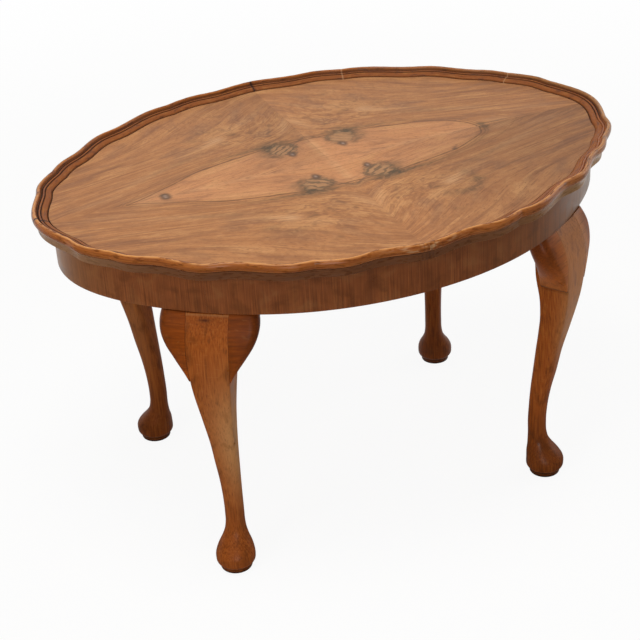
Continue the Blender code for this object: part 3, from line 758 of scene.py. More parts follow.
# A browner band runs outside the almond's edge.
BAND_PLACE, BAND_WIDTH = 8 * MM, 6 * MM
BAND_SHARES = (0.1, 0.12, 0.18, 0.3)
# A dark arc lies round the pale place.
ARC_PLACE = np.array([105, 135]) * MM
ARC_RADIUS, ARC_WIDTH = 33 * MM, 9 * MM
ARC_SHARES = (0.1, 0.15, 0.2, 0.46)
# Only the front right leaf has a dark pin knot with a tail: places, and how faint each spot is, in mm.
PIN_SPOTS = np.array([(153, 49, 2.6), (156, 45, 3.2), (160, 40, 4.6)]) * MM
PIN_SPREAD = 1.1
# Change of tone in each leaf, beside the cross seam and toward its end: painted light, darker toward
# the right end of the field.
LEAF_TONES = ((0.03, -0.04), (-0.12, 0.0), (0.0, 0.0), (0.05, -0.26))
SEAM_TONE_WIDTH = 90 * MM
END_TONE_START, END_TONE_RUN = 20 * MM, 215 * MM


def with_tail(almond, x, y):
    """Distance outside the almond joined with its tail, whose half width falls as a power to its end."""
    share = np.clip((TAIL_END - x) / (TAIL_END - TAIL_START), 0, None)
    tail = y - TAIL_WIDTH * share ** TAIL_HOLLOW + np.clip(x - TAIL_END, 0, None)
    return np.minimum(almond, np.maximum(tail, TAIL_START - x))


def own_figure(quarter, plan):
    """The shared figure at each point of a leaf, with the leaf's own stripes, tone, stains and knots."""
    x, y = plan[..., 0], plan[..., 1]
    figure = leaf_figure(x, y)
    figure["grain"] += LEAF_PLANK_STEP * quarter
    figure["knot"][..., 1] *= STRIPE_CLOSENESS[quarter]
    figure["lobes"] = np.full(x.shape, STRIPE_SHARES[quarter])
    beside_seam, toward_end = LEAF_TONES[quarter]
    to_end = np.clip((x - END_TONE_START) / END_TONE_RUN, 0, 1)
    figure["tone"] = 1 + beside_seam * bump_at(x, 0, SEAM_TONE_WIDTH) + toward_end * to_end
    tip = TIP_SHARES[quarter] * soft_spots(x, y, TIP_STAINS)
    band = BAND_SHARES[quarter] * bump_at(figure["almond"][..., 0], BAND_PLACE, BAND_WIDTH)
    from_arc = plan - ARC_PLACE
    arc = bump_at(np.linalg.norm(from_arc, axis=-1), ARC_RADIUS, ARC_WIDTH) * (from_arc.sum(-1) > 0)
    figure["stain"] = np.clip(figure["stain"] + tip + band + ARC_SHARES[quarter] * arc, 0, 1)
    eye = figure["knot"][..., 2]
    if "left" in QUARTERS[quarter]:
        figure["almond"][..., 0] = with_tail(figure["almond"][..., 0], x, y)
        eye = np.minimum(eye, np.linalg.norm(plan - TIP_EYE, axis=-1) / TIP_EYE_SPREAD)
    if QUARTERS[quarter] == "front_right":
        for *spot, faintness in PIN_SPOTS:
            eye = np.minimum(eye, faintness + np.linalg.norm(plan - spot, axis=-1) / PIN_SPREAD)
    figure["knot"][..., 2] = eye
    return figure


print("spots of the pin knot:", len(PIN_SPOTS))

# %% [markdown]
# ## The finish of the veneer
#
# Walnut veneer under a rubbed polish. The broad streaks are a few millimetres wide and very long, the
# pores are short dark dashes, and both follow the figure. The pores of real walnut are a third of a
# millimetre wide, too fine for the render, so they are drawn about twice as wide.

# %% Polished walnut veneer
PORE_LENGTH = 6 * MM
PORE_WIDTH = 0.8 * MM
STRIPE_WIDTH = 10 * MM
# Dark lines along the almond's edge in mm: distance outside it, half width, strength.
ALMOND_LINES = ((0.0, 1.5, 0.85), (5.0, 1.1, 0.45), (9.0, 1.2, 0.3))
SHEATH_LINE = (1.6, 0.3)
LINE_CORE = 0.3
# A noise lets the almond's edge wander, and its colour fades across the edge.
EDGE_WANDER, EDGE_SHIFT = 10 * MM, 5 * MM
HEART_FADE = (3 * MM, -9 * MM)
# How much of the burr shows inside the almond, and how far a burr drowns the straight streaks.
BURR_IN_HEART, BURR_DROWNING = 0.25, 0.7
# How far two noises push a knot's outline and its stripes about, and where its rind lies.
SHELL_CURL, SHELL_MOTTLE = 1.4, 1.2
SHELL_FADE, RIND_PLACE = (2.45, 2.1), 2.35
STRIPE_CURL, STRIPE_MOTTLE = 10.0, 1.2


def walnut_veneer():
    """Quarter-matched walnut: pinkish almond, brown streaks, burr knots and a soft even sheen."""
    made, tree, shader = start_material("polished_walnut_veneer", 0.08)
    grain = add_node(tree, "Attribute", attribute_name="grain")["Vector"]
    stain, pale, tone, burr, lobes = (
        add_node(tree, "Attribute", attribute_name=name)["Fac"]
        for name in ("stain", "pale", "tone", "burr", "lobes")
    )
    almond = add_node(tree, "Attribute", attribute_name="almond")["Vector"]
    almond, sheath, _ = add_node(tree, "SeparateXYZ", {0: almond})
    knot = add_node(tree, "Attribute", attribute_name="knot")["Vector"]
    shell, stripe, eye = add_node(tree, "SeparateXYZ", {0: knot})
    broad = streaks(tree, grain, (180 * MM, 14 * MM, 1.0), 3.0, 0.4)
    band = streaks(tree, grain, (200 * MM, 8 * MM, 1.0), 3.0, 0.6)
    fine = streaks(tree, grain, (45 * MM, 1.8 * MM, 1.0), 2.0, 0.2)
    pores = streaks(tree, grain, (PORE_LENGTH, PORE_WIDTH, 1.0), 1.0)
    cloud = streaks(tree, grain, (70 * MM, 28 * MM, 1.0), 4.0, 0.8)
    mottle = streaks(tree, grain, (9 * MM, 6 * MM, 1.0), 5.0, 0.6)
    curl = streaks(tree, grain, (18 * MM, 9 * MM, 1.0), 2.0)
    burl = streaks(tree, grain, (16 * MM, 13 * MM, 1.0), 4.0, 1.5)
    wisps = add_node(tree, "MapRange", {0: burl, 1: 0.35, 2: 0.65, 3: 1.0, 4: 0.45})[0]
    wavy = add_node(tree, "Math", {0: cloud, 1: EDGE_WANDER, 2: almond}, operation="MULTIPLY_ADD")[0]
    edge = add_node(tree, "Math", {0: wavy, 1: EDGE_SHIFT}, operation="SUBTRACT")[0]
    stops = [(0.3, "#a66e43"), (0.5, "#b3794b"), (0.7, "#be8553")]
    outer = add_node(tree, "ValToRGB", {0: broad}, stops)[0]
    heart = add_node(tree, "ValToRGB", {0: broad}, [(0.3, "#c08254"), (0.7, "#cc8f60")])[0]
    inside = add_node(tree, "MapRange", {0: edge, 1: HEART_FADE[0], 2: HEART_FADE[1]})[0]
    outside = add_node(tree, "MapRange", {0: inside, 3: 1.0, 4: BURR_IN_HEART})[0]
    burr = add_node(tree, "Math", {0: burr, 1: outside}, operation="MULTIPLY")[0]
    straight = add_node(tree, "Math", {0: burr, 1: -BURR_DROWNING, 2: outside}, operation="MULTIPLY_ADD")[0]
    ground = add_node(tree, "Mix", {0: inside, 6: outer, 7: heart}, data_type="RGBA")[2]
    lines = []
    broken = add_node(tree, "MapRange", {0: mottle, 1: 0.3, 2: 0.6, 3: 0.65})[0]
    for place, width, strength in ALMOND_LINES:
        off = add_node(tree, "Math", {0: edge, 1: place * MM}, operation="SUBTRACT")[0]
        off = add_node(tree, "Math", {0: off}, operation="ABSOLUTE")[0]
        lines.append((off, width * MM, LINE_CORE * width * MM, strength, "#6d4a2f", broken))
    off = add_node(tree, "Math", {0: sheath}, operation="ABSOLUTE")[0]
    lines.append((off, SHEATH_LINE[0] * MM, 0.0, SHEATH_LINE[1], "#74502f", broken))
    ragged = add_node(tree, "Math", {0: curl, 1: SHELL_CURL, 2: shell}, operation="MULTIPLY_ADD")[0]
    ragged = add_node(tree, "Math", {0: mottle, 1: SHELL_MOTTLE, 2: ragged}, operation="MULTIPLY_ADD")[0]
    in_shell = add_node(tree, "MapRange", {0: ragged, 1: SHELL_FADE[0], 2: SHELL_FADE[1]})[0]
    rind = add_node(tree, "Math", {0: ragged, 1: RIND_PLACE}, operation="SUBTRACT")[0]
    rind = add_node(tree, "Math", {0: rind}, operation="ABSOLUTE")[0]
    turns = 2 * math.pi / STRIPE_WIDTH
    phase = add_node(tree, "Math", {0: stripe, 1: turns}, operation="MULTIPLY")[0]
    phase = add_node(tree, "Math", {0: curl, 1: STRIPE_CURL, 2: phase}, operation="MULTIPLY_ADD")[0]
    phase = add_node(tree, "Math", {0: mottle, 1: STRIPE_MOTTLE, 2: phase}, operation="MULTIPLY_ADD")[0]
    ripple = add_node(tree, "Math", {0: phase}, operation="SINE")[0]
    colour = lay_over(tree, ground, [
        (cloud, 0.5, 0.28, 0.52, "#875a3b"),
        (cloud, 0.5, 0.72, 0.6, "#cf9966"),
        (band, 0.5, 0.3, 0.62, "#7f5136", straight),
        (fine, 0.5, 0.26, 0.5, "#7a4c30"),
        (pores, 0.42, 0.28, 0.45, "#684129"),
        (mottle, 0.48, 0.3, 0.2, "#865638"),
        (mottle, 0.52, 0.7, 0.12, "#d39f70"),
        (burl, 0.5, 0.32, 0.6, "#83573b", burr),
        (burl, 0.5, 0.66, 0.5, "#c8925f", burr),
        (fine, 0.25, 0.6, 1.0, "#d6a474", pale),
        *lines,
        (stain, 0, 1, 1.0, "#5c4832", wisps),
        (in_shell, 0, 1, 0.6, "#a17b55"),
        (ripple, 0.0, -1.0, 0.8, "#594631", in_shell, lobes),
        (rind, 0.25, 0.0, 0.5, "#544330", wisps),
        (eye, 8 * MM, 2.5 * MM, 0.75, "#4c3b31"),
        (eye, 3.4 * MM, 0.0, 0.6, "#ae9381"),
    ])
    colour = add_node(tree, "Mix", {0: 1.0, 6: colour, 7: tone}, data_type="RGBA", blend_type="MULTIPLY")[2]
    polish(tree, shader, colour, cloud, (0.32, 0.44), pores, 0.04 * MM)
    return made


veneer_finish = walnut_veneer()
print("finish:", veneer_finish.name)

# %% [markdown]
# ## The four leaves
#
# Each leaf is a quarter of the oval, one millimetre thick. A fan of triangles from the middle would
# crowd points there and starve the edge, so an even square of points is pressed into the quarter disc
# instead: each side of the square that is away from the middle bends into half of the curved edge.

# %% The four leaves
LEAF_ROWS, LEAF_COLUMNS = 301, 231
LEAF_CROWDING = 1.2
VENEER_THICKNESS = 1.0 * MM
SEAM_HALF = 0.02 * MM
FIELD_CLEARANCE = 0.3 * MM


def veneer_leaf(quarter):
    """A leaf: square (u, v) to disc (u * sqrt(1 - v^2/2), v * sqrt(1 - u^2/2)), stretched to the field."""
    steps = [np.linspace(0, 1, count) ** LEAF_CROWDING for count in (LEAF_ROWS, LEAF_COLUMNS)]
    u, v = np.meshgrid(*steps, indexing="ij")
    disc_x, disc_y = u * np.sqrt(1 - v ** 2 / 2), v * np.sqrt(1 - u ** 2 / 2)
    angle = np.degrees(np.arctan2(disc_y, disc_x))
    inset = scallop(angle) - RIM_INNER - FIELD_CLEARANCE
    plan = smooth_outline(angle, inset) * np.hypot(disc_x, disc_y)[..., None]
    plan = np.maximum(plan, SEAM_HALF)
    figure = own_figure(quarter, plan)
    flat = (plan * QUARTER_SIGNS[quarter]).reshape(-1, 2)
    count = len(flat)
    numbers = np.arange(count).reshape(LEAF_ROWS, LEAF_COLUMNS)
    edge = np.concatenate([numbers[:-1, 0], numbers[-1, :-1], numbers[:0:-1, -1], numbers[0, :0:-1]])
    upper = np.column_stack([flat, np.full(count, FIELD_HEIGHT)])
    lower = np.column_stack([flat[edge], np.full(len(edge), FIELD_HEIGHT - VENEER_THICKNESS)])
    points = np.concatenate([upper, lower])
    below = count + np.arange(len(edge))
    sides = np.stack([edge, np.roll(edge, -1), np.roll(below, -1), below], -1)
    top = grid_faces(LEAF_ROWS, LEAF_COLUMNS, False)
    faces = top.tolist() + sides.tolist() + [below.tolist()]
    carried = np.concatenate([np.arange(count), edge])
    riding = {key: values.reshape(count, -1)[carried] for key, values in figure.items()}
    name = QUARTERS[quarter]
    return make_piece(
        "veneer_leaf_" + name, points, faces, riding, veneer_finish, "veneer_" + name)


for quarter in range(4):
    leaf = veneer_leaf(quarter)
    print(leaf.name, "faces:", len(leaf.data.polygons))

# %% [markdown]
# ## The apron's facing
#
# The apron is a bent board with a veneer facing whose grain stands upright, as on drum-shaped work, so
# that it bends easily. It is darker than the top, and its two ends are painted with a pale sheen. The
# facing is a thin wall carried along the outline, with its lower arris eased.

# %% The apron's facing
APRON_INSET = 18.5 * MM
FACING_THICKNESS = 1.0 * MM
FACING_STEP = 0.5
FACING_ARRIS = 0.5 * MM
LEG_ANGLES = np.array([47.7, 132.3, 227.7, 312.3, 407.7])
SIDES = ("back", "left", "front", "right")
# Painted sheen: the left end is painted a pale tan and the right end a greyer olive.
LEFT_SHEEN, LEFT_POWER = 0.5, 7.0
RIGHT_SHEEN, RIGHT_POWER = 0.74, 0.9
facing_low, facing_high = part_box("facing_front")
APRON_BOTTOM, APRON_TOP = facing_low.z, facing_high.z


def walnut_facing():
    """Upright walnut veneer, dark and reddish, fine vertical streaks, a clear polish and painted sheen at the
    ends.
    """
    made, tree, shader = start_material("cross_grained_walnut_facing", 0.2)
    grain = add_node(tree, "Attribute", attribute_name="grain")["Vector"]
    faded, painted_right_sheen = (
        add_node(tree, "Attribute", attribute_name=key)["Fac"] for key in ("faded", "painted_right_sheen"))
    broad = streaks(tree, grain, (400 * MM, 22 * MM, 1.0), 2.0)
    fine = streaks(tree, grain, (60 * MM, 1.7 * MM, 1.0), 3.0)
    patch = streaks(tree, grain, (22 * MM, 26 * MM, 1.0), 4.0, 0.5)
    stops = [(0.25, "#6e3916"), (0.5, "#84471f"), (0.75, "#9a5528")]
    wood = add_node(tree, "ValToRGB", {0: fine}, stops)[0]
    # The pale tan at the left end and the greyer olive at the right end are painted sheen, standing for the
    # white paper mirrored in the polish; the right end is also painted a little darker.
    colour = lay_over(tree, wood, [
        (broad, 0.5, 0.75, 0.4, "#9a5d2e"),
        (broad, 0.45, 0.25, 0.45, "#623316"),
        (faded, 0, 1, 1.0, "#94704a"),
        (patch, 0.52, 0.3, 0.5, "#5c3014"),
        (patch, 0.52, 0.7, 0.3, "#9a6434"),
        (painted_right_sheen, 0, 1, 1.0, "#70593a"),
        (fine, 0.45, 0.28, 0.25, "#5c3519"),
    ])
    polish(tree, shader, colour, patch, (0.28, 0.42), fine, 0.08 * MM)
    return made


def facing(side, finish):
    """One facing: an upright strip with rounded lower arris, carried between two legs."""
    start, end = LEG_ANGLES[side], LEG_ANGLES[side + 1]
    angle = np.linspace(start, end, int((end - start) / FACING_STEP) + 2)
    along = run_along(smooth_outline(angle, -APRON_INSET))
    angle = np.clip(angle, *np.interp([JOINT_GAP, along[-1] - JOINT_GAP], along, angle))
    back, ease = -FACING_THICKNESS, FACING_ARRIS
    arris = turned((-ease, APRON_BOTTOM), (0.0, APRON_BOTTOM + ease), (-ease, APRON_BOTTOM + ease), 4)
    outer = bowed((0.0, APRON_BOTTOM + ease), (0.0, APRON_TOP), 0, 12)
    under = [(back, APRON_BOTTOM), (-ease, APRON_BOTTOM)]
    wall = np.concatenate([under, arris, outer, [(back, APRON_TOP)]])
    shape = (len(angle), len(wall))
    offset = np.broadcast_to(wall[:, 0] - APRON_INSET, shape)
    plan = smooth_outline(angle)[:, None, :] + outward(angle)[:, None, :] * offset[..., None]
    height = np.broadcast_to(wall[:, 1], shape)
    lengthways = np.broadcast_to(along[:, None] + side, shape)
    sideways = outward(angle)[:, 0]
    faded = LEFT_SHEEN * np.clip(-sideways, 0, 1) ** LEFT_POWER
    painted_right_sheen = RIGHT_SHEEN * np.clip(sideways, 0, 1) ** RIGHT_POWER
    riding = {
        "grain": np.stack([height, lengthways, np.zeros(shape)], -1),
        "faded": np.broadcast_to(faded[:, None], shape),
        "painted_right_sheen": np.broadcast_to(painted_right_sheen[:, None], shape),
    }
    points = np.concatenate([plan, height[..., None]], -1)
    faces = tube_faces(*shape)
    name = SIDES[side]
    return make_piece(
        "apron_facing_" + name, points, faces, riding, finish, "facing_" + name)


facing_finish = walnut_facing()
for side in range(4):
    strip = facing(side, facing_finish)
    print(strip.name, "faces:", len(strip.data.polygons))

# %% [markdown]
# ## The cabriole legs
#
# A cabriole leg is sawn from a square post along one S-curve seen from the front and the same one seen
# from the side, then rounded with a spokeshave: square at the knee, round at the ankle, and turned to a
# pad at the foot. It could be sculpted, but a table of sections from shoe to knee is how the maker's
# template works: each row gives the front line, the back line, the width and how square the section is.

# %% The leg's sections
FOOT_INSET = 20.5 * MM
FOOT_HEIGHT = 60 * MM
SHOE_RADIUS = 20.3 * MM
SHOE_HEIGHT = 8 * MM
ANKLE_RADIUS = 12.2 * MM
FOOT_SWELL = 13.1 * MM
ANKLE_SET_BACK = 12.8 * MM
KNEE_WIDTH = 51.4 * MM
KNEE_DEPTH = 38.5 * MM
KNEE_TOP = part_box("leg_front_left")[1].z
KNEE_SQUARENESS = 80.0
# Foot: height share, set-back share, swell share.
FOOT_ROWS = np.array([
    (0.0, 0, 0.64), (0.02, 0, 0.85), (0.05, 0, 0.94), (0.14, 0, 1.0), (0.25, 0, 0.99), (0.46, 0.28, 0.74),
    (0.62, 0.56, 0.42), (0.79, 0.82, 0.16), (1.0, 0.95, 0.03),
])
# Shaft: height share, front and back line as shares of the knee's depth, width share, squareness.
SHAFT_ROWS = np.array([
    (0.047, -0.018, -0.649, 0.00, 2.1), (0.124, 0.008, -0.616, 0.00, 2.3), (0.223, 0.130, -0.545, 0.06, 2.6),
    (0.309, 0.291, -0.452, 0.15, 3.0), (0.418, 0.457, -0.327, 0.27, 3.8), (0.507, 0.639, -0.208, 0.42, 5.0),
    (0.594, 0.805, -0.109, 0.59, 7.5), (0.681, 0.935, -0.088, 0.77, 16.0), (0.774, 0.992, -0.182, 0.94, 40.0),
    (0.882, 0.945, -0.255, 1.00, 70.0), (0.947, 0.779, -0.403, 1.00, 80.0),
])


def leg_rows():
    """Height, front, back, half width and squareness of each section, foot first and knee top last."""
    height = SHOE_HEIGHT + (FOOT_HEIGHT - SHOE_HEIGHT) * FOOT_ROWS[:, 0]
    radius = ANKLE_RADIUS + FOOT_SWELL * FOOT_ROWS[:, 2]
    middle = -ANKLE_SET_BACK * FOOT_ROWS[:, 1]
    foot = np.column_stack([height, middle + radius, middle - radius, radius, np.full(len(radius), 2.0)])
    height = FOOT_HEIGHT + SHAFT_ROWS[:, 0] * (KNEE_TOP - FOOT_HEIGHT)
    half = ANKLE_RADIUS + (0.5 * KNEE_WIDTH - ANKLE_RADIUS) * SHAFT_ROWS[:, 3]
    shaft = np.column_stack([height, SHAFT_ROWS[:, 1:3] * KNEE_DEPTH, half, SHAFT_ROWS[:, 4]])
    knee = [KNEE_TOP, FOOT_INSET, FOOT_INSET - KNEE_DEPTH, 0.5 * KNEE_WIDTH, KNEE_SQUARENESS]
    return np.vstack([foot, shaft, knee])


def smooth_through(rows, heights):
    """Cubic curves through the rows, with slopes taken from their neighbours, read at new heights."""
    given, values = rows[:, 0], rows[:, 1:]
    slopes = np.gradient(values, given, axis=0)
    k = np.clip(np.searchsorted(given, heights, side="right") - 1, 0, len(given) - 2)
    gap = (given[k + 1] - given[k])[:, None]
    u = (heights - given[k])[:, None] / gap
    return (
        (2 * u ** 3 - 3 * u ** 2 + 1) * values[k] + (u ** 3 - 2 * u ** 2 + u) * gap * slopes[k]
        + (3 * u ** 2 - 2 * u ** 3) * values[k + 1] + (u ** 3 - u ** 2) * gap * slopes[k + 1]
    )


leg_table = leg_rows()
print("rows in the leg's table:", len(leg_table))

# %% [markdown]
# ## The finish of the legs
#
# The legs are solid walnut, a lighter orange than the apron, with straight upright streaks, short cross
# flecks on the knee and a few dark stains, and with painted sheen, highlights and shade laid on as
# well. Solid wood shows the same plank on every side, so the pattern is a noise in space, drawn out
# along the leg and read in the leg's own directions.

# %% Oiled walnut legs and ears


def solid_walnut(name, stops, sizes, flecks):
    """Solid walnut with streaks of the given sizes: warm, satin, with stains, painted shade and sheen where
    the piece has them.
    """
    made, tree, shader = start_material(name, 0.12)
    grain = add_node(tree, "Attribute", attribute_name="grain")["Vector"]
    wear_and_sheen, mark, tone = (
        add_node(tree, "Attribute", attribute_name=key)["Fac"] for key in ("wear_and_sheen", "mark", "tone"))
    streak = streaks(tree, grain, sizes, 3.0, 0.3)
    fleck = streaks(tree, grain, flecks, 2.0)
    patch = streaks(tree, grain, (16 * MM, 16 * MM, 30 * MM), 4.0, 0.5)
    wood = add_node(tree, "ValToRGB", {0: streak}, stops)[0]
    # The pale colour is partly wear and partly painted sheen and highlight, the dark marks include painted
    # shade lines, and the tone carries each piece's own tone and painted shade.
    colour = lay_over(tree, wood, [
        (wear_and_sheen, 0, 1, 1.0, "#cf9a62"),
        (streak, 0.45, 0.25, 0.4, "#5e3312"),
        (fleck, 0.6, 0.72, 0.18, "#ba783b"),
        (patch, 0.5, 0.28, 0.5, "#5f3010"),
        (mark, 0, 1, 1.0, "#2b170b"),
    ])
    colour = add_node(tree, "Mix", {0: 1.0, 6: colour, 7: tone}, data_type="RGBA", blend_type="MULTIPLY")[2]
    polish(tree, shader, colour, patch, (0.28, 0.46), streak, 0.12 * MM)
    return made


leg_finish = solid_walnut(
    "oiled_walnut_leg", [(0.25, "#7c3c10"), (0.5, "#9a4d16"), (0.75, "#ab5f23")],
    (1.6 * MM, 1.6 * MM, 40 * MM), (9 * MM, 9 * MM, 1.6 * MM),
)
ear_finish = solid_walnut(
    "oiled_walnut_ear", [(0.25, "#743504"), (0.5, "#873e07"), (0.75, "#98490c")],
    (2.2 * MM, 70 * MM, 2.2 * MM), (1.6 * MM, 9 * MM, 9 * MM),
)
print("finishes:", leg_finish.name, ear_finish.name)

# %% [markdown]
# ## The four legs
#
# Each leg stands on a thin round shoe and turns its front square to the oval. One stack of rings makes
# the whole leg, from the shoe to the knee: a ring is a square pressed toward a circle, much at the
# ankle and hardly at the knee. The leg is worked out in its own frame and then turned to its place, and
# each of the four has its own tone, wear and marks, with painted shade, sheen and highlights among them.

# %% The four legs
LEG_RING = 96
FOOT_RINGS, FOOT_CROWDING, FOOT_CROWDED = 12, 1.6, 8 * MM
SHAFT_RINGS, SHAFT_START = 130, 9 * MM
KNEE_ROUNDING = 1.0 * MM
KNEE_STEPS = np.array([1.5, 1.0, 0.6, 0.3, 0.1, 0.0])
SHOE_LEVELS = np.array([(0.0, -1.0), (0.3, -0.3), (1.0, 0.0), (4.0, 0.0), (7.6, 0.0), (8.0, -0.6)]) * MM
EAR_HEIGHT = 84 * MM
EAR_BACK_MARGIN = 6 * MM
LEG_PLANK_STEP = np.array([0.3, 0.2, 0.5])
# Each piece of wood has its own tone; painted shade darkens the two back legs, and the feet toward the
# floor, the front right foot most.
LEG_TONES = (0.66, 0.7, 1.0, 0.97)
FOOT_TONES = (0.85, 0.85, 0.85, 0.6)
FOOT_TONE_TOP, FOOT_TONE_RUN = 110 * MM, 70 * MM
# How dark the shoe is, and dark lines by strength, height and width, which are painted shade: a contact
# shadow at the floor, and shade over the shoe, under the ears and under the apron.
SHOE_DARKNESS = 0.3
SHOE_SHADE_LINES = ((0.6, 0.0, 2.5 * MM), (0.45, SHOE_HEIGHT, 1.4 * MM))
UNDER_EAR_SHADE = (0.6, KNEE_TOP - EAR_HEIGHT - 1 * MM, 1.6 * MM)
UNDER_EAR_SIDE = 0.9
UNDER_APRON_SHADE = (0.5, KNEE_TOP, 0.5 * MM)
# The front left knee has a crack near its top, and a painted highlight along its top edge.
CRACK, CRACK_SPREAD = (0.9, KNEE_TOP - 8 * MM, 1.6 * MM), (-3 * MM, 9 * MM)
TOP_EDGE_HIGHLIGHT = (0.35, KNEE_TOP - 1.6 * MM, 0.9 * MM)
# Pale places: the shaft, partly worn and partly painted light, more on one side, and a painted sheen
# on the front of one leg from a height upward.
SHAFT_WEAR_AND_LIGHT = (0.65, 200 * MM, 110 * MM)
SHAFT_PALE_MIDDLE, SHAFT_PALE_SIDE = 0.6, 0.4
SHAFT_PALE_SHARES = (0.2, 0.4, 1.0, 0.3)
FRONT_SHEEN_SHARES = (0.0, 0.0, 0.0, 0.35)
FRONT_SHEEN_LOW, FRONT_SHEEN_RUN = 150 * MM, 80 * MM


def leg_place(quarter, points):
    """Turns points of the leg's own frame, whose first axis faces outward, to their place under the top."""
    angle = LEG_ANGLES[quarter:quarter + 1]
    facing_out = outward(angle)[0]
    foot = smooth_outline(angle, -APRON_INSET - FOOT_INSET)[0]
    sideways = np.array([-facing_out[1], facing_out[0]])
    plan = foot + points[..., :1] * facing_out + points[..., 1:2] * sideways
    return np.concatenate([plan, points[..., 2:]], -1)


def rounded_square(front, back, half, squareness, count):
    """Ring between a front and a back line: points (1, s) of a square, over the power mean of 1 and s."""
    s = np.linspace(-1, 1, count // 4 + 1)[:-1]
    one = np.ones(len(s))
    x, y = np.concatenate([one, -s, -one, s]), np.concatenate([s, one, -s, -one])
    power = squareness[:, None]
    mean = (np.abs(x) ** power + np.abs(y) ** power) ** (1 / power)
    middle, depth = 0.5 * (front + back)[:, None], 0.5 * (front - back)[:, None]
    return middle + depth * x / mean, half[:, None] * y / mean


def leg_rings():
    """Height, front, back, half width and squareness of every ring: the shoe's, then the smoothed leg's."""
    heights = np.concatenate([
        SHOE_HEIGHT + np.linspace(0, 1, FOOT_RINGS) ** FOOT_CROWDING * FOOT_CROWDED,
        np.linspace(SHOE_HEIGHT + SHAFT_START, KNEE_TOP - KNEE_STEPS[0] * KNEE_ROUNDING, SHAFT_RINGS),
        KNEE_TOP - KNEE_ROUNDING * KNEE_STEPS[1:],
    ])
    front, back, half, squareness = smooth_through(leg_table, heights).T
    over = np.clip((heights - KNEE_TOP + KNEE_ROUNDING) / KNEE_ROUNDING, 0, 1)
    ease = KNEE_ROUNDING * (1 - np.sqrt(1 - over ** 2))
    shoe_radius = SHOE_RADIUS + SHOE_LEVELS[:, 1]
    round_shoe = np.full(len(shoe_radius), 2.0)
    return (
        np.concatenate([SHOE_LEVELS[:, 0], heights]),
        np.concatenate([shoe_radius, front - ease]),
        np.concatenate([-shoe_radius, back + ease]),
        np.concatenate([shoe_radius, half - ease]),
        np.concatenate([round_shoe, np.clip(squareness, 2.0, None)]),
    )


def leg(quarter):
    """One leg: a stack of rings between front and back lines, turned to its place, with its own wear and
    painted light.
    """
    heights, front, back, half, squareness = leg_rings()
    x, y = rounded_square(front, back, half, squareness, LEG_RING)
    z = np.broadcast_to(heights[:, None], x.shape)
    own = np.stack([x, y, z], -1)
    name = QUARTERS[quarter]
    cracked = name == "front_left"
    side = y / half[:, None]
    # The shoe is darker; the lines at the floor, over the shoe, under the ears and under the apron are
    # painted shade.
    shoe = SHOE_DARKNESS * (z < SHOE_HEIGHT) + sum(soft_line(z, *line) for line in SHOE_SHADE_LINES)
    under_ear_shade = soft_line(z, *UNDER_EAR_SHADE) * (np.abs(side) > UNDER_EAR_SIDE)
    under_ear_shade *= x > (back + EAR_BACK_MARGIN)[:, None]
    crack = soft_line(z, *CRACK) * bump_at(y, *CRACK_SPREAD) * (x > 0) * cracked
    # A painted highlight along the front left knee's top edge.
    top_edge_highlight = soft_line(z, *TOP_EDGE_HIGHLIGHT) * (x > 0) * cracked
    # The shaft is paler by wear and by painted light on one side; the front right leg's front gets painted
    # sheen.
    shaft_wear_and_light = soft_line(z, *SHAFT_WEAR_AND_LIGHT) * np.clip(SHAFT_PALE_MIDDLE + SHAFT_PALE_SIDE * side, 0, 1)
    to_front = np.clip(x / front[:, None], 0, 1) ** 2
    front_sheen = to_front * np.clip((z - FRONT_SHEEN_LOW) / FRONT_SHEEN_RUN, 0, 1)
    wear_and_light = top_edge_highlight + SHAFT_PALE_SHARES[quarter] * shaft_wear_and_light + FRONT_SHEEN_SHARES[quarter] * front_sheen
    # Painted shade: the feet grow darker toward the floor.
    low = np.clip((FOOT_TONE_TOP - z) / FOOT_TONE_RUN, 0, 1)
    riding = {
        "grain": own + LEG_PLANK_STEP * (quarter + 1),
        "mark": np.clip(shoe + crack + under_ear_shade + soft_line(z, *UNDER_APRON_SHADE), 0, 1),
        "wear_and_sheen": np.clip(wear_and_light, 0, 1),
        "tone": LEG_TONES[quarter] * (1 + (FOOT_TONES[quarter] - 1) * low),
    }
    faces = tube_faces(*x.shape)
    points = leg_place(quarter, own)
    return make_piece(
        "cabriole_leg_" + name, points, faces, riding, leg_finish, "leg_" + name)


for quarter in range(4):
    made_leg = leg(quarter)
    print(made_leg.name, "faces:", len(made_leg.data.polygons))

# %% [markdown]
# ## The ears
#
# An ear is a small carved block glued to either side of the knee, so that the square post seems to
# spread into the apron. Its grain lies level, which is why its colour differs from the post's. Seen
# from the front its outline swells as a sine from a blunt lower nose to its full reach. Seen from
# above, its face goes on from the post's, bends back as the apron does, and then a quarter ellipse
# runs round to the post's back corner, so the ear is a solid lobe and not a thin plate.

# %% The ears
EAR_REACH = 34 * MM
EAR_TIP_WIDTH = 1.2 * MM
EAR_NOSE, EAR_NOSE_LEAST = 4 * MM, 0.02
EAR_SET_BACK = 0.1 * MM
EAR_GLUE_LINE = 0.05 * MM
EAR_CREST_SHARE = 0.82
EAR_HOLLOW = 1.35
EAR_ROUNDING, EAR_ROUNDING_SHARE = 12 * MM, 0.6
EAR_TOP_EASE, EAR_TOP_START = 0.8 * MM, 0.985
EAR_SIDE_POWER = 2.6
EAR_LEVELS, EAR_CROWDING = 70, 1.5
EAR_FACE_POINTS, EAR_EDGE_POINTS, EAR_SIDE_POINTS = 14, 8, 16
EAR_PLANK_STEP, EAR_HAND_STEP = np.array([0.7, 0.4, 0.9]), np.array([0.0, 0.2, 0.0])
